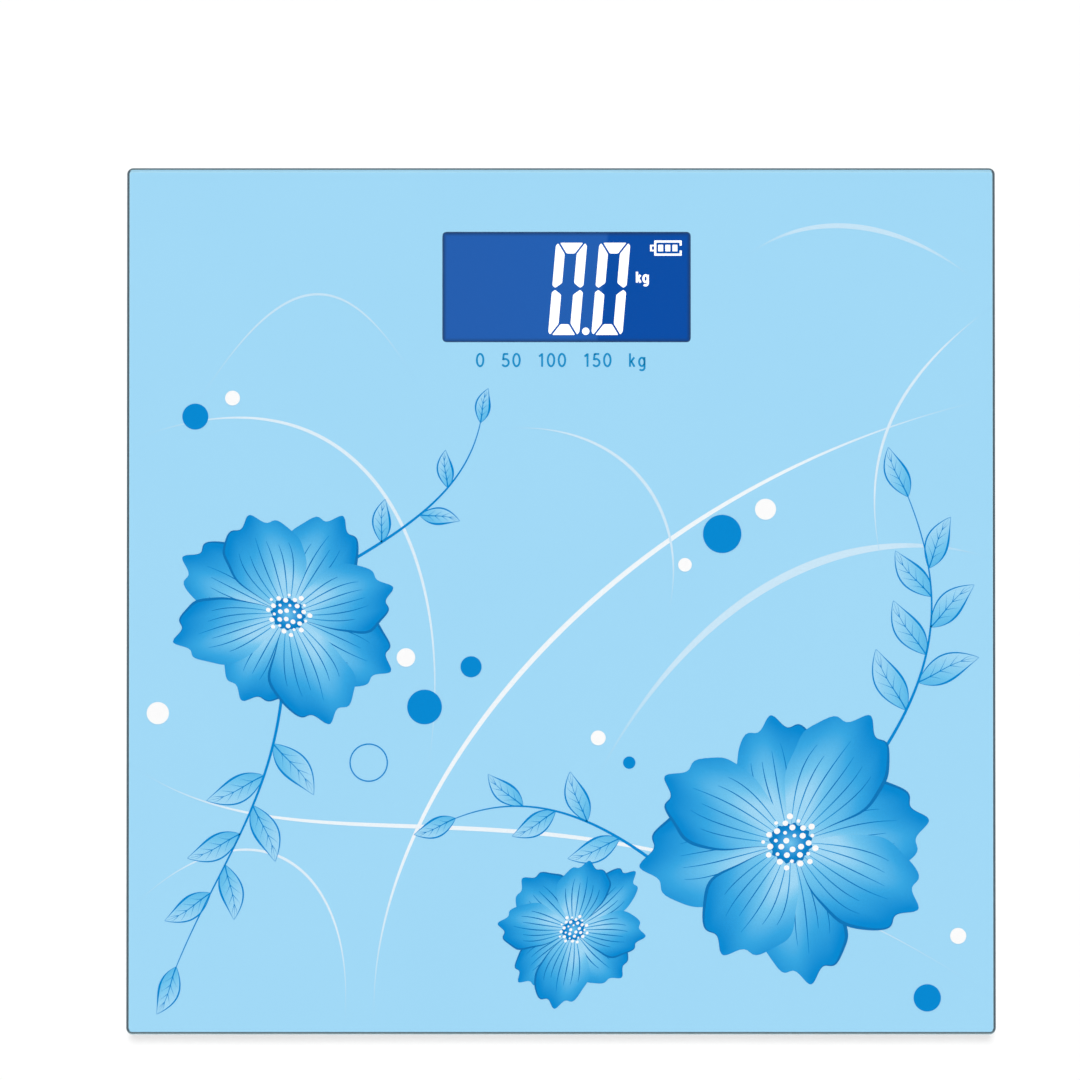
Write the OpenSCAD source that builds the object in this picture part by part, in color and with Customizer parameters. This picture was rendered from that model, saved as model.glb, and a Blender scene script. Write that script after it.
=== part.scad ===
// Digital bathroom scale: a tempered glass platform on four load-cell feet, with a
// display and battery housing bonded under its back edge.
// The origin is on the floor under the middle of the platform, with +X to the right and
// +Y to the back, as the scale is read by someone standing in front of it.

/* [Glass platform] */
// Width of the glass, left to right
plate_w = 280; // [268:1:330]
// Depth of the glass, front to back
plate_d = 280; // [250:1:330]
// Thickness of the glass
plate_t = 6; // [4:0.5:10]
// Corner radius of the glass seen from above
plate_r = 2; // [1.5:0.5:10]
// Width of the ground arris on the glass edges
plate_arris = 0.6; // [0.3:0.1:1.2]
// Height of the underside of the glass above the floor
under_h = 17.5; // [17:0.5:22]

/* [Printed film] */
// Thickness of the printed backing film
film_t = 0.25; // [0.15:0.05:0.4]
// Distance from the edge of the film to the edge of the glass
film_inset = 0.8; // [0.5:0.1:2]
// How far the display reaches past the clear window, at each end
window_margin_x = 2.9; // [2.6:0.1:6]
// How far the display reaches past the clear window, at its front and back
window_margin_y = 3.1; // [2.9:0.1:6]
// Corner radius of the window
window_r = 1.6; // [0.8:0.1:3]
// Sideways place of the middle of the window
window_x = 1.8; // [-4:0.2:4]
// Distance from the back edge of the glass to the middle of the window
window_from_back = 38; // [37:0.1:43]

/* [Display] */
// Width of the glass cell
lcd_w = 86; // [84:0.5:88]
// Depth of the front sheet of the cell, which carries the contacts
lcd_d = 42; // [41:0.5:43]
// Thickness of each of the two glass sheets
lcd_sheet_t = 1.1; // [0.7:0.1:1.3]
// Width of the contact ledge on each long side
ledge_w = 2; // [1.8:0.1:2.2]
// Thickness of the polarisers and of the reflector
polariser_t = 0.2; // [0.15:0.05:0.25]
// Margin of the polarisers inside the glass
polariser_inset = 1; // [0.6:0.1:1.2]
// Thickness of the gasket on the display
gasket_t = 0.4; // [0.2:0.1:0.6]
// How far the gasket shows inside the window, all round
bezel_show = 0.4; // [0.2:0.1:0.8]
// Thickness of the light guide behind the cell
guide_t = 2.8; // [2:0.1:3]
// Thickness of the wall of the display holder
holder_wall = 1.2; // [1:0.1:1.4]
// Width of the conductive rubber strips
zebra_w = 1.4; // [1:0.1:1.6]
// Length of the conductive rubber strips
zebra_l = 76; // [60:1:78]
// Pitch of the backlight lamps
led_pitch = 9; // [6:0.5:10]

/* [Housing] */
// Room between the circuit board and the side walls of the housing
board_room = 1.2; // [0.8:0.2:6]
// Distance from the back of the housing to the back edge of the glass
housing_from_back = 5; // [3:0.5:7]
// Corner radius of the housing
housing_r = 6; // [4.5:0.5:8]
// Radius of the lower edge of the housing
housing_edge_r = 1.4; // [0.6:0.1:1.6]
// Thickness of the side walls of the shell
shell_wall = 1.8; // [1.4:0.1:2.2]
// Thickness of the floor of the shell
shell_floor = 1.6; // [1.5:0.1:2]
// Thickness of the plate of the housing frame
frame_t = 1.5; // [1.2:0.1:1.8]
// Thickness of the foam bonding tape
tape_t = 0.5; // [0.3:0.1:0.7]
// Distance from the edge of the tape to the edge of what it bonds
tape_inset = 1.5; // [0.5:0.5:2]
// Radius of the shank of the housing screws
screw_r = 1.1; // [0.9:0.1:1.2]
// Radius of the head of the housing screws
screw_head_r = 2.4; // [2:0.1:2.6]
// Length of the shank of the housing screws
screw_l = 6; // [5:0.5:8]
// Thickness of the shell under the heads of the housing screws
screw_floor = 1.8; // [1.4:0.1:2]
// Radius of the posts that take the housing screws
post_r = 3; // [2.6:0.1:3.2]
// Radius of the posts that hold the circuit board
board_post_r = 2.2; // [1.8:0.1:2.4]
// Radius of the shank of the circuit board screws
board_screw_r = 0.9; // [0.7:0.05:1]
// Length of the shank of the circuit board screws
board_screw_l = 4.6; // [3.5:0.1:5]

/* [Circuit board] */
// Thickness of the circuit board
board_t = 1.2; // [0.8:0.1:1.4]
// Radius of the epoxy dome over the bonded chip
dome_r = 7; // [5:0.5:9]
// Height of the epoxy dome
dome_h = 1.6; // [1:0.1:2]
// Width of the memory chip
memory_w = 5; // [3:0.5:6]
// Depth of the memory chip
memory_d = 4; // [3:0.5:5]
// Height of the memory chip
memory_h = 1.5; // [1:0.1:2]
// Width of the crystal can
crystal_w = 8; // [6:0.5:11]
// Depth of the crystal can
crystal_d = 3.2; // [2.4:0.1:4]
// Height of the crystal can
crystal_h = 2.4; // [1.6:0.1:2.8]
// Width of a small chip part
part_w = 2; // [1:0.1:2.4]
// Depth of a small chip part
part_d = 1.25; // [0.8:0.05:1.6]
// Height of a small chip part
part_h = 0.6; // [0.4:0.1:1]
// Height of the body of the unit switch
switch_h = 1.8; // [1.6:0.1:2]
// How far the plunger of the unit switch stands out
plunger_out = 0.7; // [0.5:0.1:0.8]
// Distance from the middle of the unit button to the right end of the board
button_from_end = 18; // [14:0.5:22]
// Travel of the unit button
button_travel = 0.4; // [0.2:0.1:0.5]
// Diameter of the unit button
button_d = 8; // [6:0.5:10]
// Thickness of the flange that holds the unit button in
button_flange_t = 0.8; // [0.6:0.1:1]
// Height of the stem of the unit button above its flange
button_stem = 0.7; // [0.5:0.1:0.8]

/* [Batteries] */
// Diameter of one battery
battery_d = 10.3; // [9.8:0.1:10.5]
// Length of one battery without its nub
battery_l = 43.5; // [43:0.1:44.5]
// Height of the nub on a battery
nub_l = 1; // [0.8:0.1:1.2]
// Length of each battery spring as compressed
spring_l = 4; // [3:0.1:5]
// Wire thickness of the battery springs
spring_wire = 0.6; // [0.4:0.1:0.7]
// Turns of each battery spring
spring_turns = 3.5; // [2.5:0.5:4]
// Thickness of the battery contacts
contact_t = 0.4; // [0.3:0.1:0.5]
// Thickness of the battery cover
cover_t = 1.4; // [1.3:0.1:1.5]
// Thickness of the tongues that hold the battery cover
tongue_t = 0.65; // [0.5:0.05:0.7]
// Reach of the tongues past the cover
tongue_w = 1.8; // [1.2:0.1:2.2]
// Width of the five grip grooves of the battery cover
grip_w = 16; // [10:1:24]
// Width of each grip groove, which is also the land between two
grip_groove = 0.8; // [0.6:0.1:1]
// Width of the spring tab of the battery cover
cover_tab_w = 12; // [8:0.5:16]
// Length of the spring tab of the battery cover
cover_tab_l = 7; // [5:0.5:8]

/* [Feet] */
// Distance from the middle of each foot to the edges of the glass
foot_inset = 38; // [36:0.5:42]
// Diameter of the sensor base under each corner
base_d = 58; // [57:0.5:62]
// Thickness of the roof of the sensor base
base_roof = 2.2; // [1.6:0.1:2.6]
// Thickness of the skirt of the sensor base
base_wall = 2; // [1.6:0.1:2.4]
// Taper of the lower end and bevel of the upper edge of the skirt
skirt_taper = 0.6; // [0.3:0.1:0.9]
// Side of the square load cell
cell_w = 34; // [33:0.5:35]
// Thickness of the steel of the load cell
cell_t = 2; // [1.6:0.1:2.4]
// Width of the neck that carries the strain gauge
cell_neck_w = 12; // [9:0.5:14]
// Width of the tongue that the foot pushes
cell_tongue_w = 8; // [6:0.5:10]
// Width of the slot cut round the tongue and its frame
cell_slot_w = 1.8; // [1.4:0.1:2.2]
// Length of the folded edges of the load cell
cell_fold_l = 20; // [16:1:22]
// Height of the pads that the load cell seats on
seat_h = 2; // [1.8:0.1:2.4]
// Diameter of the disc of the foot
foot_d = 48; // [46.5:0.5:50]
// Thickness of the disc of the foot
foot_t = 2.8; // [2.4:0.1:3.2]
// Thickness of the rubber pad
pad_t = 2.4; // [2:0.1:3]
// Diameter of the rubber pad
pad_d = 43.6; // [38:0.2:44]
// Depth of the recess that the pad is bonded in
pad_seat = 0.8; // [0.5:0.1:1.2]
// Play of the foot on its hooks, felt when the scale is lifted
foot_play = 0.7; // [0.4:0.1:1]
// Gap between the disc of the foot and the skirt above it
skirt_gap = 2.2; // [1.2:0.1:2.4]
// Radius of the stud that pushes the load cell
stud_r = 4; // [3:0.1:4.2]
// Width of the lugs that hold the hooks of the foot
lug_w = 9; // [7:0.5:11]
// Thickness of the lugs
lug_t = 1.4; // [1.2:0.1:1.8]
// Reach of the lugs inside the skirt
lug_reach = 5.7; // [5:0.1:6]
// Width of the hooks of the foot
hook_w = 6; // [4:0.5:7]
// Thickness of the hooks
hook_t = 1.9; // [1.4:0.1:2]
// Reach of the barb of each hook over its lug
barb = 2; // [1.2:0.1:2.4]
// Height of the barb
barb_h = 1.5; // [1.2:0.1:1.8]
// Thickness of the fences round the load cell
fence_t = 1.2; // [1:0.1:1.4]
// Length of the fences along each edge of the load cell
fence_l = 6; // [4:0.5:7]
// Width of the clips under the load cell
clip_w = 3; // [2:0.5:4]

/* [Wiring] */
// Inner width of the wire ducts
duct_w = 8; // [7.8:0.2:10]
// Thickness of the walls of the ducts
duct_wall = 1; // [0.8:0.1:1.2]
// Width of the bonding flanges of the ducts
duct_flange = 2.5; // [1.5:0.5:4]
// Diameter of one insulated wire
wire_d = 1; // [0.8:0.1:1.1]

/* [Clearances] */
// Gap round a piece that drops into its pocket
fit = 0.2; // [0.15:0.05:0.25]
// Gap round a piece that moves
run = 0.3; // [0.25:0.05:0.4]

/* [Hidden] */
$fn = 64;
// How far a cut runs past the face it opens
cut = 1;

// Heights from the glass down to the load cells
top_z = under_h + plate_t;
film_z = under_h - film_t;
bond_z = film_z - tape_t;
roof_z = bond_z - base_roof;
cell_top = roof_z - seat_h;
cell_z = cell_top - cell_t;

// Heights from the floor up to the feet
foot_z = pad_t - pad_seat;
foot_top = foot_z + foot_t;
base_z = foot_top + skirt_gap;

// Plan of the feet
foot_x = plate_w / 2 - foot_inset;
foot_y = plate_d / 2 - foot_inset;
base_r = base_d / 2;
base_inner = base_r - base_wall;
lug_in = base_inner - lug_reach;

// Load cell and the bead over its gauge
cell_frame_w = 5;
gauge_l = 9;
gauge_w = 5;
gauge_y = -cell_w / 2 + cell_frame_w + gauge_w / 2;

// Display stack, from the film down
lcd_x = window_x;
lcd_y = plate_d / 2 - window_from_back;
window_w = lcd_w - 2 * window_margin_x;
window_d = lcd_d - 2 * window_margin_y;
gasket_z = film_z - gasket_t;
front_polariser_z = gasket_z - polariser_t;
front_glass_z = front_polariser_z - lcd_sheet_t;
rear_glass_z = front_glass_z - lcd_sheet_t;
rear_polariser_z = rear_glass_z - polariser_t;
guide_z = rear_polariser_z - guide_t;
reflector_z = guide_z - polariser_t;
led_room = 2.4;
guide_w = lcd_w - 2 * led_room;
guide_d = lcd_d - 2 * ledge_w - 1.8;
holder_w = lcd_w + 2 * fit + 2 * holder_wall;
holder_d = lcd_d + 2 * fit + 2 * holder_wall;
zebra_y = lcd_d / 2 - ledge_w / 2;
led_board_t = 0.8;
led_board_d = 2 * led_pitch + 8;
led_board_x = -guide_w / 2 - led_room + 0.2;

// Housing stack: the frame bonds to the film and the shell hangs just deep enough for a battery
frame_z = bond_z - frame_t;
battery_z = frame_z - fit - battery_d / 2;
cover_top = battery_z - battery_d / 2 - run;
shell_z = cover_top - cover_t;
floor_z = shell_z + shell_floor;
shell_h = frame_z - shell_z;

// Battery bay and plan of the housing
bay_d = 2 * battery_d + 4 * fit;
bay_l = 2 * contact_t + spring_l + battery_l + nub_l;
bay_wall = 1.2;
bay_back = lcd_y - holder_d / 2 - fit - bay_wall;
bay_front = bay_back - bay_d;
bay_wall_top = battery_z + battery_d / 4;
housing_front = bay_front - shell_wall;
housing_back = plate_d / 2 - housing_from_back;
housing_d = housing_back - housing_front;
housing_y = (housing_front + housing_back) / 2;
battery_y = [bay_front + fit + battery_d / 2, bay_back - fit - battery_d / 2];
contact_w = 8.4;
contact_z = battery_z - battery_d / 2 + 1.2;

// Circuit board, set by the button and the switch that stand under it
board_z = floor_z + button_flange_t + button_stem + plunger_out + switch_h;
board_top = board_z + board_t;
board_post_x = holder_w / 2 + board_post_r + 2 * fit;
board_w = 2 * (board_post_x + board_post_r + 4 * fit);
board_d = holder_d;
board_post_y = board_d / 2 - 2 * board_post_r;
button_x = lcd_x + board_w / 2 - button_from_end;
button_y = lcd_y - 4;

// Housing round the board, and its screw posts in the corners
housing_w = board_w + 2 * board_room + 2 * shell_wall;
post_x = housing_w / 2 - shell_wall - post_r - 1;
post_y = housing_d / 2 - shell_wall - post_r - fit;
boss_r = post_r + 0.6;
boss_top = floor_z + 2.4;
screw_seat_z = boss_top - screw_floor;
button_r = button_d / 2;
plunger_r = 1.5;

// Cover of the battery bay
lip_t = cover_t - tongue_t - run / 2;
opening_w = bay_l + 1.2;
opening_back = bay_back - fit;

// Wire ducts lie against the film, with their floors just under the roofs of the bases
duct_floor = roof_z - wire_d - fit - 0.1;
duct_z = duct_floor - duct_wall;
duct_h = film_z - duct_z;
duct_outer = duct_w + 2 * duct_wall;
port_x = base_r + 1.5;
wire_pitch = wire_d + 0.2;
wire_z = duct_floor + wire_d / 2 + 0.05;

// ---- Shared shapes ----

// Rectangle with round corners, centred
module rounded_rect(w, d, r) {
    square([w - 2 * r, d], center = true);
    square([w, d - 2 * r], center = true);
    for (x = [-1, 1], y = [-1, 1])
        translate([x * (w / 2 - r), y * (d / 2 - r)]) circle(r);
}

// Slab on z = 0 with round corners in plan
module slab(w, d, h, r) {
    linear_extrude(h) rounded_rect(w, d, r);
}

// Body of height h whose edge profile, drawn from x = 0 to x = r, runs round a rounded rectangle
module carried_round(w, d, r, h) {
    core_w = w - 2 * r;
    core_d = d - 2 * r;
    translate([-core_w / 2, -core_d / 2, 0]) cube([core_w, core_d, h]);
    for (side = [0, 180])
        rotate([0, 0, side]) {
            translate([core_w / 2, core_d / 2, 0]) rotate([90, 0, 0]) linear_extrude(core_d) children();
            translate([-core_w / 2, core_d / 2, 0]) rotate([90, 0, 90]) linear_extrude(core_w) children();
        }
    for (x = [0, 1], y = [0, 1])
        translate([(2 * x - 1) * core_w / 2, (2 * y - 1) * core_d / 2, 0])
            rotate([0, 0, x == 1 ? (y == 1 ? 0 : 270) : (y == 1 ? 90 : 180)])
                rotate_extrude(angle = 90) children();
}

// Box from one corner point to the opposite one
module block(low, high) {
    translate(low) cube(high - low);
}

// Children placed at a foot, with local +X and +Y both pointing inward from the corner
module at_foot(side, end) {
    translate([side * foot_x, end * foot_y, 0])
        mirror([side > 0 ? 1 : 0, 0, 0]) mirror([0, end > 0 ? 1 : 0, 0]) children();
}

// Children repeated at the four corners of a rectangle
module at_corners(x, y) {
    for (i = [-1, 1], j = [-1, 1]) translate([i * x, j * y, 0]) children();
}

// Children centred on the display
module at_display(z) {
    translate([lcd_x, lcd_y, z]) children();
}

// Children centred on the housing
module at_housing(z) {
    translate([lcd_x, housing_y, z]) children();
}

// ---- Swept round wire ----

function unit(v) = v / norm(v);

// Points along an arc-like bend that replaces the corner b of the path a, b, c
function bend(a, b, c, r, steps) =
    let (p = b + r * unit(a - b), q = b + r * unit(c - b))
    [for (i = [0:steps]) let (t = i / steps) (1 - t) * (1 - t) * p + 2 * t * (1 - t) * b + t * t * q];

// Path through the given points with every corner rounded
function rounded_path(points, r, steps = 4) = [
    points[0],
    for (i = [1:len(points) - 2]) each bend(points[i - 1], points[i], points[i + 1], r, steps),
    points[len(points) - 1]
];

function tangent(path, i) = unit(path[min(i + 1, len(path) - 1)] - path[max(i - 1, 0)]);

// Normals carried along the path without twist, starting from n
function normals(path, n, i = 0) = i == len(path) ? [] :
    let (t = tangent(path, i), m = unit(n - (n * t) * t)) concat([m], normals(path, m, i + 1));

// Round wire of diameter d along a path, with its section starting at the direction up
module wire(path, d, up = [0, 0, 1], sides = 8) {
    side_dirs = normals(path, up);
    rings = [for (i = [0:len(path) - 1], k = [0:sides - 1])
        let (n = side_dirs[i], m = cross(tangent(path, i), n), a = 360 * k / sides)
        path[i] + d / 2 * (cos(a) * n + sin(a) * m)];
    last = (len(path) - 1) * sides;
    walls = [for (i = [0:len(path) - 2], k = [0:sides - 1])
        let (a = i * sides, b = (k + 1) % sides) [a + k, a + sides + k, a + sides + b, a + b]];
    ends = [[for (k = [0:sides - 1]) k], [for (k = [sides - 1:-1:0]) last + k]];
    polyhedron(rings, concat(walls, ends), convexity = 6);
}

// ---- Platform ----

module arris_profile() {
    polygon([
        [0, 0], [plate_r - plate_arris, 0], [plate_r, plate_arris],
        [plate_r, plate_t - plate_arris], [plate_r - plate_arris, plate_t], [0, plate_t]
    ]);
}

module glass_platform() {
    color([0.75, 0.88, 0.9, 0.4])
        translate([0, 0, under_h]) carried_round(plate_w, plate_d, plate_r, plate_t) arris_profile();
}

module print_film() {
    color([0.63, 0.85, 0.96])
        translate([0, 0, film_z])
            linear_extrude(film_t)
                difference() {
                    rounded_rect(plate_w - 2 * film_inset, plate_d - 2 * film_inset, plate_r - 0.5);
                    translate([lcd_x, lcd_y]) rounded_rect(window_w, window_d, window_r);
                }
}

// ---- Display ----

module display_gasket() {
    color([0.1, 0.15, 0.25])
        at_display(gasket_z)
            linear_extrude(gasket_t)
                difference() {
                    square([lcd_w - 2 * polariser_inset, lcd_d - 2 * polariser_inset], center = true);
                    rounded_rect(window_w - 2 * bezel_show, window_d - 2 * bezel_show, window_r / 2);
                }
}

module front_polariser() {
    color([0.06, 0.25, 0.6])
        at_display(front_polariser_z)
            slab(lcd_w - 2 * polariser_inset, lcd_d - 2 * polariser_inset, polariser_t, 0.4);
}

module lcd_front_glass() {
    color([0.2, 0.4, 0.7])
        at_display(front_glass_z) slab(lcd_w, lcd_d, lcd_sheet_t, 0.4);
}

module lcd_rear_glass() {
    color([0.25, 0.45, 0.75])
        at_display(rear_glass_z) slab(lcd_w, lcd_d - 2 * ledge_w, lcd_sheet_t, 0.4);
}

module rear_polariser() {
    color([0.08, 0.3, 0.65])
        at_display(rear_polariser_z) slab(guide_w, guide_d, polariser_t, 0.4);
}

// Clear slab with a row of half-round notches that take the lamps
module light_guide() {
    color([0.9, 0.95, 1])
        at_display(guide_z)
            linear_extrude(guide_t)
                difference() {
                    square([guide_w, guide_d], center = true);
                    for (i = [-1:1]) translate([-guide_w / 2 - 1, i * led_pitch]) circle(1.8);
                }
}

module reflector() {
    color("white")
        at_display(reflector_z) slab(guide_w, guide_d, polariser_t, 0.4);
}

module led_board() {
    color([0.85, 0.85, 0.8])
        at_display(0)
            block([led_board_x, -led_board_d / 2, board_top],
                  [led_board_x + led_board_t, led_board_d / 2, rear_polariser_z - fit]);
}

module backlight_leds() {
    led_w = 3;
    led_h = 1.6;
    mid_z = guide_z + guide_t / 2;
    color([1, 1, 0.85])
        for (i = [-1:1])
            at_display(0)
                block([led_board_x + led_board_t, i * led_pitch - led_w / 2, mid_z - led_h / 2],
                      [-guide_w / 2 - fit, i * led_pitch + led_w / 2, mid_z + led_h / 2]);
}

module zebra_strips() {
    color([0.9, 0.6, 0.65])
        for (side = [-1, 1])
            at_display(board_top)
                translate([0, side * zebra_y, 0])
                    linear_extrude(front_glass_z - board_top) square([zebra_l, zebra_w], center = true);
}

// Moulded tray that stacks the guide and the cell on the board
module lcd_holder() {
    holder_h = frame_z - board_top;
    color("whitesmoke")
        at_display(board_top)
            difference() {
                slab(holder_w, holder_d, holder_h, 1.2);
                translate([0, 0, rear_glass_z - board_top])
                    linear_extrude(holder_h) square([lcd_w + 2 * fit, lcd_d + 2 * fit], center = true);
                translate([0, 0, reflector_z - board_top])
                    linear_extrude(holder_h) square([guide_w + 2 * fit, guide_d + 2 * fit], center = true);
                translate([0, 0, -cut])
                    slab(guide_w - 8, guide_d - 8, holder_h, 3);
                for (side = [-1, 1])
                    translate([0, side * zebra_y, -cut])
                        linear_extrude(holder_h + cut)
                            square([zebra_l + 2 * fit, zebra_w + 2 * fit], center = true);
                block([led_board_x - fit, -led_board_d / 2 - fit, -cut],
                      [-guide_w / 2 + cut, led_board_d / 2 + fit, holder_h + cut]);
            }
}

// ---- Circuit board ----

module circuit_board() {
    color([0.1, 0.4, 0.2])
        at_display(board_z)
            linear_extrude(board_t)
                difference() {
                    rounded_rect(board_w, board_d, 1.5);
                    for (i = [-1, 1], j = [-1, 1])
                        translate([i * board_post_x, j * board_post_y]) circle(board_screw_r + run);
                }
}

// Epoxy dome over the bonded chip, under the board
module chip_cover() {
    color([0.08, 0.08, 0.08])
        translate([lcd_x - board_w / 8, lcd_y + board_d / 16, board_z])
            rotate([180, 0, 0])
                rotate_extrude()
                    polygon([for (a = [0:15:90]) [dome_r * cos(a), dome_h * sin(a)], [0, 0]]);
}

// Memory chip, crystal can and small chip parts on the underside of the board
module board_parts() {
    lead_pitch = memory_w / 4;
    lead_w = lead_pitch / 3;
    lead_reach = memory_d / 5;
    color([0.15, 0.15, 0.16])
        at_display(board_z) {
            translate([board_w / 12, -board_d / 5, -memory_h]) {
                cube([memory_w, memory_d, memory_h]);
                for (i = [0:3])
                    translate([(i + 0.5) * lead_pitch - lead_w / 2, -lead_reach, memory_h / 2])
                        cube([lead_w, memory_d + 2 * lead_reach, memory_h / 2]);
            }
            translate([-board_w / 4, board_d / 4, -crystal_h])
                slab(crystal_w, crystal_d, crystal_h, 0.48 * crystal_d);
            for (i = [0:4])
                translate([2 * part_w * (i - 0.5), board_d / 4, -part_h]) cube([part_w, part_d, part_h]);
            for (i = [0:2])
                translate([-board_w / 3, part_w * (2 * i - 5), -part_h]) cube([part_d, part_w, part_h]);
        }
}

// Tact switch under the board: square body with four legs, bored for its plunger
module unit_switch() {
    body_w = 6;
    leg = 1;
    color([0.12, 0.12, 0.13])
        translate([button_x, button_y, board_z - switch_h])
            difference() {
                union() {
                    translate([-body_w / 2, -body_w / 2, 0]) cube([body_w, body_w, switch_h]);
                    for (i = [-1, 1], j = [-1, 1])
                        translate([i * (body_w / 2 + leg / 2), j * (body_w / 2 - leg), switch_h - 0.2])
                            cube([leg, 0.7, 0.4], center = true);
                }
                translate([0, 0, -cut]) cylinder(h = cut + switch_h - 0.5, r = plunger_r + run);
            }
}

module switch_plunger() {
    plunger_z = board_z - switch_h - plunger_out;
    color([0.75, 0.72, 0.65])
        translate([button_x, button_y, plunger_z])
            cylinder(h = plunger_out + switch_h - 0.5 - button_travel - run, r = plunger_r);
}

// Round button: cap in the floor of the shell, flange inside it, stem up to the switch
module unit_button() {
    cap_z = shell_z + 0.15;
    color([0.85, 0.87, 0.9])
        translate([button_x, button_y, 0])
            rotate_extrude()
                polygon([
                    [0, cap_z], [button_r - 0.4, cap_z], [button_r, cap_z + 0.4],
                    [button_r, floor_z], [button_r + 1.2, floor_z],
                    [button_r + 1.2, floor_z + button_flange_t], [plunger_r, floor_z + button_flange_t],
                    [plunger_r, floor_z + button_flange_t + button_stem],
                    [0, floor_z + button_flange_t + button_stem]
                ]);
}

// ---- Screws ----

// Pan-head screw pointing up, with its seat at z = 0 and a cross recess in the head
module pan_screw(r, head_r, length) {
    head_h = 1.5;
    slot_w = 0.5;
    difference() {
        union() {
            cylinder(h = length, r = r);
            translate([0, 0, -head_h])
                rotate_extrude()
                    polygon([
                        [0, 0], [head_r - 0.7, 0], [head_r - 0.2, 0.4], [head_r, 1],
                        [head_r, head_h], [0, head_h]
                    ]);
        }
        for (a = [0, 90])
            rotate([0, 0, a])
                translate([-head_r * 0.6, -slot_w / 2, -head_h - cut])
                    cube([head_r * 1.2, slot_w, cut + 0.8]);
    }
}

module housing_screws() {
    color("silver")
        at_housing(screw_seat_z) at_corners(post_x, post_y) pan_screw(screw_r, screw_head_r, screw_l);
}

module board_screws() {
    color("silver")
        at_display(board_z)
            at_corners(board_post_x, board_post_y)
                pan_screw(board_screw_r, 1.9 * board_screw_r, board_screw_l);
}

// ---- Housing ----

module housing_tape() {
    rim = 2;
    color([0.2, 0.2, 0.2])
        at_housing(bond_z)
            linear_extrude(tape_t)
                difference() {
                    rounded_rect(housing_w - 2 * tape_inset, housing_d - 2 * tape_inset,
                                 housing_r - tape_inset);
                    translate([0, lcd_y - housing_y])
                        square([lcd_w + 2 * rim, lcd_d + 2 * rim], center = true);
                }
}

// Post with a screw hole up its middle
module screw_post(low, r, hole_r) {
    difference() {
        translate([0, 0, low]) cylinder(h = frame_z - low, r = r);
        translate([0, 0, low - cut]) cylinder(h = frame_z - low, r = hole_r);
    }
}

// Plate with the display opening, a locating lip inside the shell, and the screw posts
module housing_frame() {
    lip_w = 1.2;
    lip_h = 1.8;
    lip_out_w = housing_w - 2 * shell_wall - 2 * fit;
    lip_out_d = housing_d - 2 * shell_wall - 2 * fit;
    lip_r = housing_r - shell_wall - fit;
    color([0.93, 0.94, 0.95]) {
        at_housing(frame_z)
            linear_extrude(frame_t)
                difference() {
                    rounded_rect(housing_w, housing_d, housing_r);
                    translate([0, lcd_y - housing_y])
                        square([lcd_w + 2 * fit, lcd_d + 2 * fit], center = true);
                }
        difference() {
            at_housing(frame_z - lip_h)
                linear_extrude(lip_h)
                    difference() {
                        rounded_rect(lip_out_w, lip_out_d, lip_r);
                        rounded_rect(lip_out_w - 2 * lip_w, lip_out_d - 2 * lip_w, lip_r - lip_w);
                    }
            for (side = [-1, 1])
                translate([lcd_x + side * housing_w / 2, foot_y, frame_z - lip_h / 2 - cut / 2])
                    cube([2 * housing_r, duct_outer, lip_h + cut], center = true);
            at_housing(frame_z - lip_h / 2 - cut / 2)
                translate([0, -housing_d / 2, 0])
                    cube([bay_l + 4 * bay_wall, 4 * housing_r, lip_h + cut], center = true);
        }
        at_housing(0) at_corners(post_x, post_y) screw_post(boss_top, post_r, screw_r + 0.1);
        at_display(0)
            at_corners(board_post_x, board_post_y) screw_post(board_top, board_post_r, board_screw_r + 0.1);
    }
}

// Profile of the side of the shell, with its lower edge rounded
module shell_profile() {
    square([housing_r - housing_edge_r, shell_h]);
    translate([0, housing_edge_r]) square([housing_r, shell_h - housing_edge_r]);
    translate([housing_r - housing_edge_r, housing_edge_r]) circle(housing_edge_r);
}

// Opening for the battery cover: through the floor and the front wall, with a groove round it
module cover_opening() {
    translate([lcd_x, 0, shell_z]) {
        block([-opening_w / 2, housing_front - cut, -cut], [opening_w / 2, opening_back, shell_floor]);
        block([-opening_w / 2 - tongue_w, housing_front - cut, lip_t],
              [opening_w / 2 + tongue_w, opening_back, shell_floor]);
        block([-opening_w / 2 + 4, opening_back - cut, lip_t],
              [opening_w / 2 - 4, opening_back + tongue_w, shell_floor]);
    }
}

// Rails over the cover's tongues, end walls for the contacts, and the wall behind the batteries
module bay_walls() {
    rail_h = 1;
    rail_out = opening_w / 2 + tongue_w + bay_wall;
    translate([lcd_x, 0, floor_z]) {
        for (side = [-1, 1])
            mirror([side > 0 ? 1 : 0, 0, 0]) {
                block([-rail_out, bay_front - 0.5, 0], [-bay_l / 2, bay_back, rail_h]);
                block([-bay_l / 2 - bay_wall, bay_front - 0.5, 0],
                      [-bay_l / 2, bay_back, bay_wall_top - floor_z]);
            }
        block([-rail_out, bay_back, 0], [rail_out, bay_back + bay_wall, bay_wall_top - floor_z]);
    }
}

module screw_bosses() {
    at_housing(0)
        at_corners(post_x, post_y)
            translate([0, 0, floor_z - 0.5]) cylinder(h = boss_top - floor_z + 0.5, r = boss_r);
}

module screw_holes() {
    at_housing(0)
        at_corners(post_x, post_y) {
            translate([0, 0, shell_z - cut])
                cylinder(h = screw_seat_z - shell_z + cut, r = screw_head_r + run);
            translate([0, 0, shell_z]) cylinder(h = shell_h, r = screw_r + run);
        }
}

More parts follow.
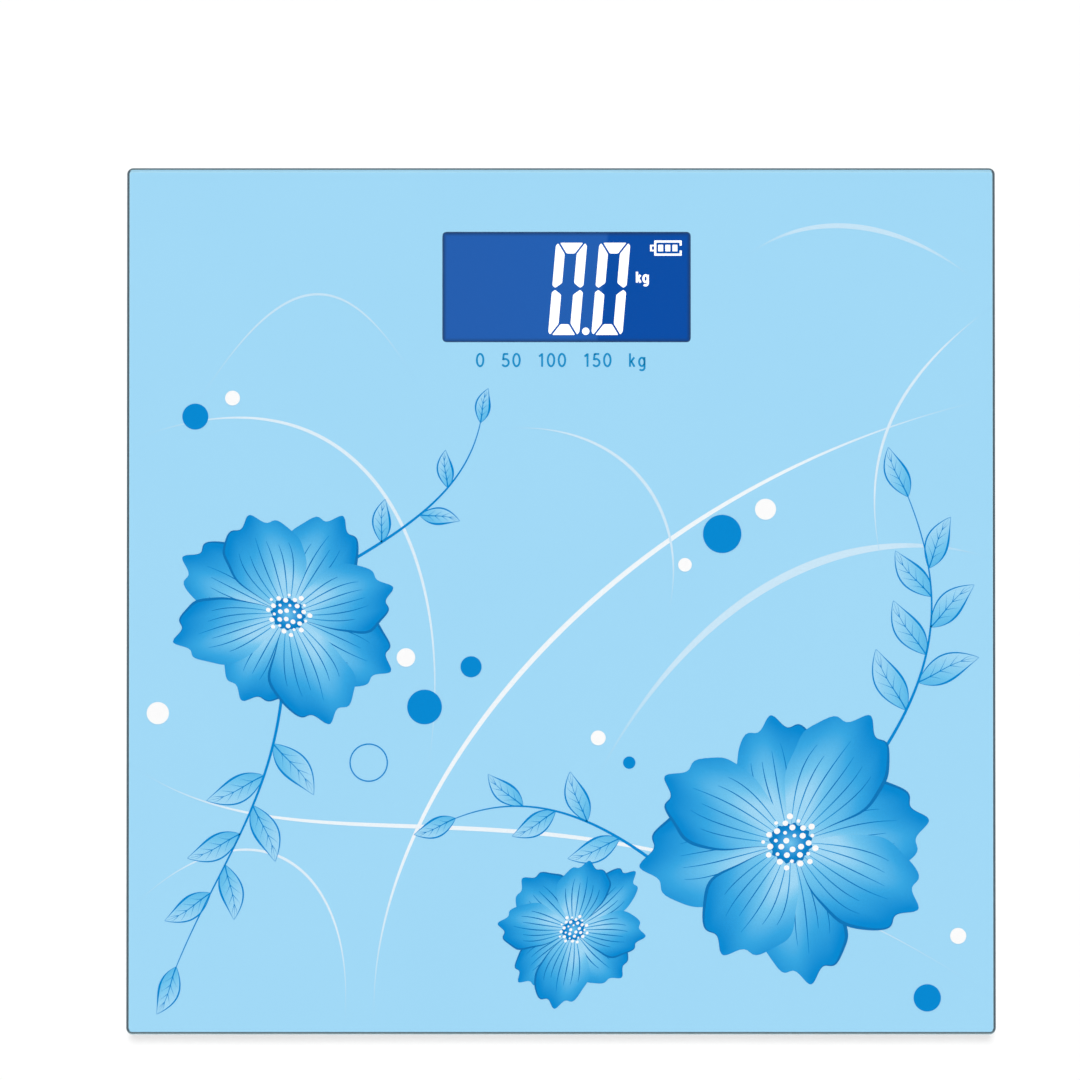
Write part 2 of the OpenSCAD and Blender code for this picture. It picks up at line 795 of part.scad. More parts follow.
// Stiffening ribs across the floor, clear of the bay, the board parts and the button
module floor_ribs() {
    rib_w = 1;
    rib_h = 1.2;
    rib_y = [bay_back + bay_wall + 3.5, housing_back - shell_wall - 12];
    for (y = rib_y)
        translate([lcd_x - housing_w / 2 + shell_wall - 0.5, y, floor_z - 0.5])
            cube([housing_w - 2 * shell_wall + 1, rib_w, rib_h + 0.5]);
}

module housing_shell() {
    color([0.9, 0.91, 0.93])
        difference() {
            union() {
                difference() {
                    at_housing(shell_z)
                        carried_round(housing_w, housing_d, housing_r, shell_h) shell_profile();
                    at_housing(floor_z)
                        slab(housing_w - 2 * shell_wall, housing_d - 2 * shell_wall, shell_h,
                             housing_r - shell_wall);
                }
                screw_bosses();
                floor_ribs();
            }
            cover_opening();
            screw_holes();
            translate([button_x, button_y, shell_z - cut])
                cylinder(h = shell_floor + 2 * cut, r = button_r + run);
            for (side = [-1, 1])
                translate([lcd_x + side * housing_w / 2, foot_y, duct_floor + shell_h / 2])
                    cube([4 * shell_wall, duct_w, shell_h], center = true);
        }
    color([0.9, 0.91, 0.93]) bay_walls();
}

// Sliding cover: plate with a rounded front edge, side and back tongues, grip grooves and a
// latch tab that is free on three sides
module battery_cover() {
    plate_half = opening_w / 2 - run;
    plate_back = opening_back - run;
    depth = plate_back - housing_front;
    tongue_z = cover_t - tongue_t;
    slit = 0.6;
    tab_y = 2 * cover_t + 0.2;
    grip_y = depth - 11.2 * grip_groove;
    color([0.84, 0.86, 0.89])
        translate([lcd_x, housing_front, shell_z])
            difference() {
                union() {
                    translate([-plate_half, 0, 0])
                        rotate([90, 0, 90])
                            linear_extrude(2 * plate_half) {
                                translate([0, cover_t / 2]) square([depth, cover_t / 2]);
                                translate([cover_t / 2, 0]) square([depth - cover_t / 2, cover_t]);
                                translate([cover_t / 2, cover_t / 2]) circle(cover_t / 2);
                            }
                    block([-plate_half - tongue_w, shell_wall + 1, tongue_z],
                          [plate_half + tongue_w, depth, cover_t]);
                    block([-plate_half + 4, depth - cut, tongue_z],
                          [plate_half - 4, depth + tongue_w - run, cover_t]);
                }
                for (side = [-1, 1])
                    translate([side * cover_tab_w / 2 - slit / 2, tab_y, -cut])
                        cube([slit, cover_tab_l, cover_t + 2 * cut]);
                translate([-cover_tab_w / 2, tab_y, -cut]) cube([cover_tab_w, slit, cover_t + 2 * cut]);
                for (i = [0:4])
                    translate([-grip_w / 2, grip_y + 2 * i * grip_groove, -cut])
                        cube([grip_w, grip_groove, cut + grip_groove / 2]);
            }
}

// ---- Batteries ----

// Cell along +X from its flat end, with a nub at the other
module battery() {
    r = battery_d / 2;
    rotate([0, 90, 0])
        rotate_extrude()
            polygon([
                [0, 0], [r - 1, 0], [r - 0.3, 0.2], [r, 0.6], [r, battery_l - 0.6],
                [r - 0.5, battery_l - 0.1], [r - 1.2, battery_l], [2.2, battery_l],
                [1.9, battery_l + 0.2], [1.9, battery_l + nub_l - 0.2], [1.7, battery_l + nub_l],
                [0, battery_l + nub_l]
            ]);
}

module battery_front() {
    color([0.35, 0.36, 0.38])
        translate([lcd_x - bay_l / 2 + contact_t + spring_l, battery_y[0], battery_z]) battery();
}

module battery_back() {
    color([0.35, 0.36, 0.38])
        translate([lcd_x + bay_l / 2 - contact_t - spring_l, battery_y[1], battery_z])
            mirror([1, 0, 0]) battery();
}

// Contact against the left end wall, bent over its top into a solder tab
module end_contact(y) {
    tab_out = 3.2;
    translate([lcd_x - bay_l / 2, y, 0]) {
        block([0, -contact_w / 2, contact_z], [contact_t, contact_w / 2, bay_wall_top + contact_t]);
        block([-tab_out, -1.5, bay_wall_top], [contact_t / 2, 1.5, bay_wall_top + contact_t]);
    }
}

module plus_contact() {
    color("silver") end_contact(battery_y[1]);
}

module minus_contact() {
    color("silver") end_contact(battery_y[0]);
}

// One plate that joins the two batteries at the right end wall
module bridge_contact() {
    color("silver")
        translate([lcd_x + bay_l / 2 - contact_t, 0, 0])
            block([0, battery_y[0] - contact_w / 2, contact_z],
                  [contact_t, battery_y[1] + contact_w / 2, bay_wall_top]);
}

// Conical coil along +X from its wide end
module battery_spring() {
    steps = 12 * spring_turns;
    wide = battery_d / 2 - 1.3;
    narrow = 2.4;
    coil = [for (i = [0:steps])
        let (t = i / steps, a = 360 * spring_turns * t, r = wide + (narrow - wide) * t)
        [spring_wire / 2 + t * (spring_l - spring_wire), r * cos(a), r * sin(a)]];
    wire(coil, spring_wire, [1, 0, 0]);
}

module battery_springs() {
    color([0.8, 0.8, 0.82]) {
        translate([lcd_x - bay_l / 2 + contact_t, battery_y[0], battery_z]) battery_spring();
        translate([lcd_x + bay_l / 2 - contact_t, battery_y[1], battery_z])
            mirror([1, 0, 0]) battery_spring();
    }
}

// Two wires from the solder tabs to the front edge of the board, side by side all the way
module battery_wires() {
    lead_pitch = 1.8;
    tab_x = lcd_x - bay_l / 2 - 2.4;
    tab_z = bay_wall_top + contact_t + wire_d / 2;
    pad_z = board_top + wire_d / 2;
    pad_y = lcd_y - board_d / 2 + 1.4;
    for (i = [0, 1]) {
        aside = lead_pitch * (1 - i);
        turn_x = tab_x - 3.4 - aside;
        run_y = bay_back - 1 - aside;
        land_x = lcd_x - holder_w / 2 - 1.4 - aside;
        color(i == 0 ? "black" : "firebrick")
            wire(rounded_path([
                [tab_x, battery_y[i], tab_z], [turn_x, battery_y[i], tab_z],
                [turn_x, run_y, tab_z], [land_x, run_y, tab_z],
                [land_x, run_y, pad_z], [land_x, pad_y, pad_z]
            ], 0.9), wire_d);
    }
}

// ---- Feet ----

module base_tapes() {
    color([0.2, 0.2, 0.2])
        for (side = [-1, 1], end = [-1, 1])
            at_foot(side, end) translate([0, 0, bond_z]) cylinder(h = tape_t, r = base_r - tape_inset / 2);
}

// Cup that holds one load cell: roof and tapered skirt, seats and fences for the cell, clips
// under it, lugs for the hooks of the foot, and two ports for the wires
module sensor_base() {
    fence_in = cell_w / 2 + fit;
    fence_out = fence_in + fence_t;
    seat_w = cell_frame_w;
    clip_x = cell_w / 5;
    clip_z = cell_z - fence_t;
    clip_reach = fence_t * 3 / 4;
    color([0.92, 0.93, 0.94])
        difference() {
            union() {
                rotate_extrude()
                    polygon([
                        [0, roof_z], [base_inner, roof_z], [base_inner, base_z],
                        [base_r - skirt_taper, base_z], [base_r, base_z + base_wall],
                        [base_r, bond_z - skirt_taper], [base_r - skirt_taper, bond_z], [0, bond_z]
                    ]);
                for (a = [0, 90])
                    rotate([0, 0, a])
                        block([base_inner + fit, -duct_outer / 2, duct_z], [port_x, duct_outer / 2, bond_z]);
                translate([0, 0, cell_top + seat_h / 2])
                    at_corners(cell_w / 2 - seat_w / 2, cell_w / 2 - seat_w / 2)
                        cube([seat_w, seat_w, seat_h], center = true);
                for (i = [0, 1], j = [0, 1])
                    mirror([i, 0, 0]) mirror([0, j, 0]) {
                        block([fence_in, fence_in - fence_l, cell_z], [fence_out, fence_out, roof_z]);
                        block([fence_in - fence_l, fence_in, cell_z], [fence_out, fence_out, roof_z]);
                        block([clip_x - clip_w / 2, fence_in, clip_z],
                              [clip_x + clip_w / 2, fence_out, roof_z]);
                        block([clip_x - clip_w / 2, fence_in - clip_reach, clip_z],
                              [clip_x + clip_w / 2, fence_out, cell_z - fit]);
                    }
                for (a = [0:90:270])
                    rotate([0, 0, a])
                        block([lug_in, -lug_w / 2, base_z], [base_inner + fit, lug_w / 2, base_z + lug_t]);
            }
            for (a = [0, 90])
                rotate([0, 0, a])
                    block([base_inner - 2, -duct_w / 2, duct_floor], [port_x + cut, duct_w / 2, roof_z]);
        }
}

// Stamped load cell: square frame, a slotted island hung from it by one neck, and a tongue in
// the island that the foot pushes on; two edges are folded down
module load_cell() {
    slot = cell_slot_w;
    island = cell_w - 2 * cell_frame_w;
    neck = cell_neck_w;
    tongue = cell_tongue_w;
    fold = 1.8;
    color([0.78, 0.78, 0.8]) {
        translate([0, 0, cell_z])
            linear_extrude(cell_t)
                difference() {
                    rounded_rect(cell_w, cell_w, 3);
                    difference() {
                        square(island, center = true);
                        square(island - 2 * slot, center = true);
                        translate([-neck / 2, -island / 2]) square([neck, slot]);
                    }
                    for (i = [-1, 1])
                        translate([i * (tongue / 2 + slot / 4), 0.5]) square([slot / 2, 12], center = true);
                    translate([0, 6.5 - slot / 4]) square([tongue, slot / 2], center = true);
                }
        for (i = [-1, 1])
            translate([i * (cell_w / 2 - 0.6), 0, cell_z - fold / 2])
                cube([1.2, cell_fold_l, fold], center = true);
    }
}

// Silicone bead over the strain gauge on each neck
module gauge_covers() {
    color([0.95, 0.95, 0.92])
        for (side = [-1, 1], end = [-1, 1])
            at_foot(side, end)
                translate([0, gauge_y, cell_top]) slab(gauge_l, gauge_w, seat_h - fit, 0.8);
}

// Foot: disc with a recess for its pad, a stud that pushes the load cell, ribs, and four hooks
module foot() {
    r = foot_d / 2;
    hook_out = lug_in - run - 0.1;
    barb_z = base_z + lug_t + foot_play;
    color([0.88, 0.89, 0.91])
        difference() {
            union() {
                rotate_extrude()
                    polygon([
                        [0, foot_z], [r - 0.8, foot_z], [r, foot_z + 0.8], [r, foot_top - 0.6],
                        [r - 0.6, foot_top], [stud_r + 0.8, foot_top], [stud_r, foot_top + 0.8],
                        [stud_r, cell_z - 1], [stud_r - 1, cell_z], [0, cell_z]
                    ]);
                for (a = [0:90:270])
                    rotate([0, 0, a]) {
                        translate([0, hook_w / 2, 0])
                            rotate([90, 0, 0])
                                linear_extrude(hook_w)
                                    polygon([
                                        [hook_out - hook_t, foot_top - 0.5], [hook_out, foot_top - 0.5],
                                        [hook_out, barb_z], [hook_out + barb, barb_z],
                                        [hook_out, barb_z + barb_h], [hook_out - hook_t, barb_z + barb_h]
                                    ]);
                        rotate([0, 0, 45])
                            block([stud_r - 1, -0.8, foot_top - 0.5], [r - 3, 0.8, foot_top + skirt_gap / 2]);
                    }
            }
            translate([0, 0, foot_z - cut]) cylinder(h = pad_seat + cut, r = pad_d / 2 + fit);
        }
}

// Rubber pad with two grip grooves
module pad() {
    r = pad_d / 2;
    groove = 0.6;
    color([0.25, 0.26, 0.28])
        rotate_extrude()
            polygon([
                [0, 0], [r * 0.4, 0], [r * 0.4, groove], [r * 0.46, groove], [r * 0.46, 0],
                [r * 0.7, 0], [r * 0.7, groove], [r * 0.76, groove], [r * 0.76, 0],
                [r - 0.5, 0], [r, 0.5], [r, pad_t], [0, pad_t]
            ]);
}

module base_front_left() { at_foot(-1, -1) sensor_base(); }
module base_front_right() { at_foot(1, -1) sensor_base(); }
module base_back_left() { at_foot(-1, 1) sensor_base(); }
module base_back_right() { at_foot(1, 1) sensor_base(); }
module cell_front_left() { at_foot(-1, -1) load_cell(); }
module cell_front_right() { at_foot(1, -1) load_cell(); }
module cell_back_left() { at_foot(-1, 1) load_cell(); }
module cell_back_right() { at_foot(1, 1) load_cell(); }
module foot_front_left() { at_foot(-1, -1) foot(); }
module foot_front_right() { at_foot(1, -1) foot(); }
module foot_back_left() { at_foot(-1, 1) foot(); }
module foot_back_right() { at_foot(1, 1) foot(); }
module pad_front_left() { at_foot(-1, -1) pad(); }
module pad_front_right() { at_foot(1, -1) pad(); }
module pad_back_left() { at_foot(-1, 1) pad(); }
module pad_back_right() { at_foot(1, 1) pad(); }

// ---- Wiring ----

// Channel along +X from z = duct_z up to the film, with bonding flanges
module duct(length) {
    flange_t = 0.8;
    color([0.92, 0.93, 0.94])
        rotate([90, 0, 90])
            linear_extrude(length)
                difference() {
                    union() {
                        translate([-duct_outer / 2, duct_floor]) square([duct_outer, film_z - duct_floor]);
                        translate([-duct_w / 2, duct_z]) square([duct_w, duct_h]);
                        for (i = [-1, 1]) translate([i * duct_w / 2, duct_floor]) circle(duct_wall);
                        translate([-duct_outer / 2 - duct_flange, film_z - flange_t])
                            square([duct_outer + 2 * duct_flange, flange_t]);
                    }
                    translate([-duct_w / 2, duct_floor]) square([duct_w, duct_h + cut]);
                }
}

// Duct along one side of the platform, from port to port of two bases
module side_duct(side) {
    translate([side * foot_x, -foot_y + port_x, 0]) rotate([0, 0, 90]) duct(2 * (foot_y - port_x));
}

// Duct from a back base to the housing
module back_duct(side) {
    wall_x = lcd_x + side * housing_w / 2;
    base_x = side * (foot_x - port_x);
    translate([min(wall_x, base_x), foot_y, 0]) duct(abs(base_x - wall_x));
}

// End of every route: through the wall of the housing, down, and onto the board
function board_route(side, y) =
    let (drop_x = lcd_x + side * (board_w / 2 - wire_d), pad_x = drop_x - side * 2.6)
    [[drop_x, y, wire_z], [drop_x, y, board_top + wire_d / 2], [pad_x, y, board_top + wire_d / 2]];

WIRE_COLOURS = ["firebrick", "black", "white"];

// Three wires of a front load cell: along the side duct, over the back base and to the board
module front_wires(side) {
    for (i = [0:2]) {
        x = side * (foot_x - (1 - i) * wire_pitch);
        y = foot_y - (2.5 - i) * wire_pitch;
        color(WIRE_COLOURS[i])
            wire(rounded_path(concat(
                [[x, -foot_y + gauge_y + gauge_w / 2, wire_z], [x, y, wire_z]],
                board_route(side, y)), 1.2), wire_d);
    }
}

// Three wires of a back load cell, beside those of the front one in the back duct
module back_wires(side) {
    for (i = [0:2]) {
        start_y = foot_y - gauge_y - (1 - i) * wire_pitch;
        start_x = side * (foot_x - gauge_l / 2);
        turn_x = start_x - side * (1.8 + i * wire_pitch);
        y = foot_y + (0.5 + i) * wire_pitch;
        color(WIRE_COLOURS[i])
            wire(rounded_path(concat(
                [[start_x, start_y, wire_z], [turn_x, start_y, wire_z], [turn_x, y, wire_z]],
                board_route(side, y)), 1.2), wire_d);
    }
}

module wires_front_left() { front_wires(-1); }
module wires_front_right() { front_wires(1); }
module wires_back_left() { back_wires(-1); }
module wires_back_right() { back_wires(1); }
module side_duct_left() { side_duct(-1); }
module side_duct_right() { side_duct(1); }
module back_duct_left() { back_duct(-1); }
module back_duct_right() { back_duct(1); }

// ---- Drawing ----

glass_platform();
print_film();
display_gasket();
front_polariser();
lcd_front_glass();
lcd_rear_glass();
rear_polariser();
light_guide();
reflector();
led_board();
backlight_leds();
zebra_strips();
lcd_holder();
circuit_board();
chip_cover();
board_parts();
unit_switch();
switch_plunger();
unit_button();
board_screws();
housing_tape();
housing_frame();
housing_shell();
housing_screws();
battery_cover();
battery_front();
battery_back();
plus_contact();
minus_contact();
bridge_contact();
battery_springs();
battery_wires();
base_tapes();
gauge_covers();
base_front_left();
base_front_right();
base_back_left();
base_back_right();
cell_front_left();
cell_front_right();
cell_back_left();
cell_back_right();
foot_front_left();
foot_front_right();
foot_back_left();
foot_back_right();
pad_front_left();
pad_front_right();
pad_back_left();
pad_back_right();
wires_front_left();
wires_front_right();
wires_back_left();
wires_back_right();
side_duct_left();
side_duct_right();
back_duct_left();
back_duct_right();
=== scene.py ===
"""Looks of a square glass bathroom scale: printed sheet, lit display, fittings underneath.

The solids come from model.glb. This file dresses them, replaces the plain printed sheet with a
sheet that carries its inks, and adds the lit figures of the display and a raised arrow on the
battery cover. Lengths are in metres; the sizes of printed and lit motifs are written in
millimetres and scaled by MM.
"""
import logging
import math
from dataclasses import dataclass
from enum import Enum

import bpy
import numpy as np
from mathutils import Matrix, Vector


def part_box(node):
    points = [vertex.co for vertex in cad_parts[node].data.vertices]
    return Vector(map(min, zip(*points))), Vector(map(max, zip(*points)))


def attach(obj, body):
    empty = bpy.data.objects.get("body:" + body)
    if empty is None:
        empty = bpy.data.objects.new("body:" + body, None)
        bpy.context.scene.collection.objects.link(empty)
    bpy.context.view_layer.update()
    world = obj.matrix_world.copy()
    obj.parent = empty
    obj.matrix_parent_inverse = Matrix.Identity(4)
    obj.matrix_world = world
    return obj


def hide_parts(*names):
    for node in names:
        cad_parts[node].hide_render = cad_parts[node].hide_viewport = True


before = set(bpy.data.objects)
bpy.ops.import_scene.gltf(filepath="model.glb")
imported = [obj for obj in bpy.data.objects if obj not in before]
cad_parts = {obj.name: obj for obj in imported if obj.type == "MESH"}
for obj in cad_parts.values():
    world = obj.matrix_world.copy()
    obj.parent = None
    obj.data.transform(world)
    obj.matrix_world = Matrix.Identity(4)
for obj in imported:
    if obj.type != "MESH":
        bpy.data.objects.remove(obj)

LOG = logging.getLogger("bathroom_scale")
MM = 0.001
WINDOW_RIM = (2.9 * MM, 3.1 * MM)
WIRE_RADIUS = 0.5 * MM
FULL_TURN = (0, 360)
GOLDEN_ANGLE = 137.5

Pair = tuple[float, float]
Triple = tuple[float, float, float]
Colour = tuple[float, float, float, float]
Socket = bpy.types.NodeSocket


# ---- Colours ----


def linear(red: float, green: float, blue: float) -> Colour:
    """Turns a colour of 0 to 255 per channel into linear light.

    Args:
        red, green, blue: display values of the channels.

    Returns:
        Linear red, green, blue and full opacity.
    """
    values = np.array([red, green, blue], float) / 255
    light = np.where(values <= 0.04045, values / 12.92, ((values + 0.055) / 1.055) ** 2.4)
    return (*(float(v) for v in light), 1.0)


def shade(colour: Colour, factor: float) -> Colour:
    """Colour with its light scaled."""
    return (*(min(c * factor, 1.0) for c in colour[:3]), 1.0)


class Ink(Enum):
    """Inks of the printed sheet."""

    FACE = linear(160, 217, 247)
    SKY = linear(112, 198, 240)
    MID = linear(54, 168, 228)
    DEEP = linear(0, 138, 212)
    NIGHT = linear(10, 118, 186)
    WHITE = linear(254, 254, 254)
    MARK = linear(22, 146, 204)

    def rgb(self) -> np.ndarray:
        """Linear red, green and blue."""
        return np.array(self.value[:3])


def wash(share: np.ndarray, inks: tuple[Ink, ...], stops: tuple[float, ...]) -> np.ndarray:
    """Colour of each point of a gradient through several inks.

    Args:
        share: place of each point along the gradient.
        inks: the inks, one per stop.
        stops: rising places of the inks along the gradient.

    Returns:
        Linear colours, one row per point.
    """
    table = np.array([ink.rgb() for ink in inks])
    return np.stack([np.interp(share, stops, table[:, k]) for k in range(3)], axis=1)


# ---- Surfaces ----


@dataclass
class Patch:
    """Piece of surface as points, faces and a colour per point, black until it is inked."""

    points: np.ndarray
    faces: list[np.ndarray]
    tint: np.ndarray | None = None

    def __post_init__(self) -> None:
        """Gives a patch without colours its black."""
        if self.tint is None:
            self.tint = np.zeros((len(self.points), 3))

    def raised(self, height: float) -> "Patch":
        """Flat patch whose points get the same height."""
        return Patch(lifted(self.points[:, :2], height), self.faces, self.tint)

    def inked(self, ink: Ink) -> "Patch":
        """Patch in one ink."""
        return Patch(self.points, self.faces, np.tile(ink.rgb(), (len(self.points), 1)))


def joined(patches: list[Patch]) -> Patch:
    """Puts patches one after another in one patch.

    Args:
        patches: the patches, whose points have as many coordinates as each other.

    Returns:
        One patch, with the faces renumbered.
    """
    starts = np.cumsum([0] + [len(p.points) for p in patches])
    faces = [block + start for p, start in zip(patches, starts) for block in p.faces]
    points = np.vstack([p.points for p in patches])
    return Patch(points, faces, np.vstack([p.tint for p in patches]))


def lifted(outline: np.ndarray, height: float) -> np.ndarray:
    """Flat outline as points at a height."""
    return np.hstack([outline, np.full((len(outline), 1), height)])


def turned(points: np.ndarray, degrees: float) -> np.ndarray:
    """Flat points turned anticlockwise about the origin."""
    a = math.radians(degrees)
    return points @ np.array([[math.cos(a), math.sin(a)], [-math.sin(a), math.cos(a)]])


def grid_faces(rows: int, columns: int, round_rows: bool = False) -> np.ndarray:
    """Quads of a grid of points stored row by row.

    Formula: quad (i, j) joins points (i, j), (i, j+1), (i+1, j+1) and (i+1, j), and the column
    after the last is the first where the rows close on themselves.

    Args:
        rows: number of rows.
        columns: points in each row.
        round_rows: whether each row closes on itself.

    Returns:
        Point numbers, four per quad.
    """
    i, j = np.meshgrid(np.arange(rows - 1), np.arange(columns - (not round_rows)), indexing="ij")
    row, next_row, after = i * columns, (i + 1) * columns, (j + 1) % columns
    corners = [row + j, row + after, next_row + after, next_row + j]
    return np.stack([c.ravel() for c in corners], axis=1)


def fan(outline: np.ndarray, heart: np.ndarray, rings: int) -> Patch:
    """Flat patch inside a closed outline that can be seen whole from its heart.

    Formula: point (k, t) lies at the share k / rings of the way from the heart to outline point t.

    Args:
        outline: points of the outline, two coordinates each, in either direction.
        heart: the point that all rings shrink to.
        rings: number of rings.

    Returns:
        Patch with the heart first, then the rings from the inside out.
    """
    after = np.roll(outline, -1, axis=0)
    turn = np.sum(outline[:, 0] * after[:, 1] - outline[:, 1] * after[:, 0])
    outline = outline if turn > 0 else outline[::-1]
    count = len(outline)
    share = np.arange(1, rings + 1)[:, None, None] / rings
    ring_points = heart + share * (outline[None] - heart)
    points = np.vstack([heart[None], ring_points.reshape(-1, 2)])
    t = np.arange(count)
    tips = np.stack([np.zeros(count, int), 1 + t, 1 + (t + 1) % count], axis=1)
    quads = grid_faces(rings, count, True)[:, [0, 3, 2, 1]] + 1
    return Patch(points, [tips, quads])


def ribbon(path: np.ndarray, half: np.ndarray) -> Patch:
    """Flat stroke along a path.

    Formula: the two rails are the path plus and minus its unit normal times the half width, where
    the normal is the path's central difference turned by a right angle. A path that ends where it
    starts gets one normal for both ends.

    Args:
        path: points of the path, two coordinates each.
        half: half width of the stroke at each point.

    Returns:
        Patch with three points across the stroke.
    """
    ahead = np.gradient(path, axis=0)
    if np.allclose(path[0], path[-1]):
        ahead[[0, -1]] = path[1] - path[-2]
    ahead /= np.maximum(np.linalg.norm(ahead, axis=1, keepdims=True), 1e-9)
    normal = np.stack([-ahead[:, 1], ahead[:, 0]], axis=1)
    across = np.array([-1.0, 0.0, 1.0])[None, :, None]
    points = (path[:, None] + across * (half[:, None] * normal)[:, None]).reshape(-1, 2)
    return Patch(points, [grid_faces(len(path), 3)[:, ::-1]])


def bezier(controls: list[Pair], count: int) -> np.ndarray:
    """Points of a cubic Bezier curve.

    Formula: the Bernstein blend (1-t)^3 A + 3 t (1-t)^2 B + 3 t^2 (1-t) C + t^3 D.

    Args:
        controls: the four control points.
        count: number of points.

    Returns:
        Points along the curve.
    """
    t = np.linspace(0, 1, count)[:, None]
    a, b, c, d = (np.array(p, float) for p in controls)
    return (1 - t) ** 3 * a + 3 * t * (1 - t) ** 2 * b + 3 * t**2 * (1 - t) * c + t**3 * d


def arc(centre: Pair, radii: Pair, turn: Pair, count: int) -> np.ndarray:
    """Points of an arc of an ellipse.

    Formula: centre plus (rx cos a, ry sin a) for angles a between two ends.

    Args:
        centre: centre of the ellipse.
        radii: its radii along x and y.
        turn: first and last angle in degrees.
        count: number of points.

    Returns:
        Points along the arc.
    """
    a = np.radians(np.linspace(*turn, count))
    return np.stack([centre[0] + radii[0] * np.cos(a), centre[1] + radii[1] * np.sin(a)], axis=1)


def disc(centre: Pair, radius: float, count: int = 48) -> Patch:
    """Flat round patch."""
    outline = arc(centre, (radius, radius), FULL_TURN, count + 1)[:-1]
    return fan(outline, np.array(centre, float), 2)


def rounded(corners: list[Pair], radius: float, steps: int = 6) -> np.ndarray:
    """Outline of a polygon whose corners are rounded.

    Formula: each corner becomes the quadratic Bezier curve from the point one radius before it to
    the point one radius after it, with the corner as the middle control point.

    Args:
        corners: the corners in order.
        radius: distance from a corner at which its round begins, at most 0.45 of a side.
        steps: points per round.

    Returns:
        Points of the outline.
    """
    at = np.array(corners, float)
    back = np.roll(at, 1, axis=0) - at
    on = np.roll(at, -1, axis=0) - at
    back_length = np.linalg.norm(back, axis=1, keepdims=True)
    on_length = np.linalg.norm(on, axis=1, keepdims=True)
    reach = np.minimum(radius, 0.45 * np.minimum(back_length, on_length))
    first = (at + back / back_length * reach)[:, None]
    last = (at + on / on_length * reach)[:, None]
    t = np.linspace(0, 1, steps)[None, :, None]
    return ((1 - t) ** 2 * first + 2 * t * (1 - t) * at[:, None] + t**2 * last).reshape(-1, 2)


def centred_box(width: float, depth: float, radius: float, steps: int = 10) -> np.ndarray:
    """Outline of a rectangle round the origin with round corners."""
    x, y = width / 2, depth / 2
    return rounded([(-x, -y), (x, -y), (x, y), (-x, y)], radius, steps)


def stacked(loops: list[np.ndarray], ring: bool = False) -> Patch:
    """Closed skin through loops of points.

    Formula: rows of the grid are the loops; the first and last loop are closed by a fan to their
    mean point, or the row after the last is the first where the loops make a ring.

    Args:
        loops: loops of three-coordinate points, anticlockwise from above. They rise, and those
            of a ring rise on its outside and come down on its inside.
        ring: whether the last loop joins the first.

    Returns:
        Patch whose faces look outwards.
    """
    rows, count = len(loops), len(loops[0])
    points = np.vstack(loops)
    if ring:
        return Patch(points, [grid_faces(rows + 1, count, True) % len(points)])
    t = np.arange(count)
    after, top = (t + 1) % count, (rows - 1) * count
    low, high = (np.full(count, len(points) + k) for k in (0, 1))
    ends = [np.stack([low, after, t], axis=1), np.stack([high, top + t, top + after], axis=1)]
    points = np.vstack([points, loops[0].mean(0), loops[-1].mean(0)])
    return Patch(points, [grid_faces(rows, count, True), *ends])


# ---- Nodes of materials and the world ----


class Nodes:
    """Node tree, with short ways to add what materials and the world share."""

    def __init__(self, tree: bpy.types.NodeTree) -> None:
        """Takes the tree that the nodes go into."""
        self.tree = tree

    def feed(self, node: bpy.types.Node, key: str | int, value: object) -> None:
        """Links a socket to an input, or sets the input to a plain value.

        Args:
            node: the node that takes it.
            key: name or number of the input.
            value: a socket, a number or a colour.
        """
        if isinstance(value, Socket):
            self.tree.links.new(value, node.inputs[key])
        else:
            node.inputs[key].default_value = value

    def add(self, kind: str, inputs: dict[str | int, object] | None = None,
            **properties: object) -> bpy.types.Node:
        """Adds a node.

        Args:
            kind: its type.
            inputs: what its inputs are fed, by their names or numbers.
            **properties: its settings.

        Returns:
            The node.
        """
        node = self.tree.nodes.new(kind)
        for key, value in properties.items():
            setattr(node, key, value)
        for key, value in (inputs or {}).items():
            self.feed(node, key, value)
        return node

    def axis(self, at: Socket, index: int) -> Socket:
        """One coordinate, 0 for x to 2 for z."""
        return self.add("ShaderNodeSeparateXYZ", {0: at}).outputs[index]

    def math(self, operation: str, *values: object) -> Socket:
        """Arithmetic on sockets and numbers."""
        return self.add("ShaderNodeMath", dict(enumerate(values)), operation=operation).outputs[0]

    def span(self, value: Socket, low: float, high: float, start: float = 0.0,
             end: float = 1.0) -> Socket:
        """Maps low..high to start..end and holds it there.

        Args:
            value: what is mapped.
            low, high: the range it is read in.
            start, end: the range it comes out in.

        Returns:
            The mapped value.
        """
        inputs = {"Value": value, "From Min": low, "From Max": high, "To Min": start, "To Max": end}
        return self.add("ShaderNodeMapRange", inputs).outputs[0]

    def level(self, share: Socket, first: object, second: object) -> Socket:
        """Mix of two numbers, by how much of the second there is."""
        return self.add("ShaderNodeMix", {0: share, 2: first, 3: second}).outputs[0]

    def blend(self, share: object, first: object, second: object) -> Socket:
        """Mix of two colours, by how much of the second there is."""
        inputs = {0: share, 6: first, 7: second}
        return self.add("ShaderNodeMix", inputs, data_type="RGBA").outputs[2]

    def layered(self, share: object, first: Socket, second: Socket) -> Socket:
        """Mix of two shaders, by how much of the second there is."""
        return self.add("ShaderNodeMixShader", {0: share, 1: first, 2: second}).outputs[0]


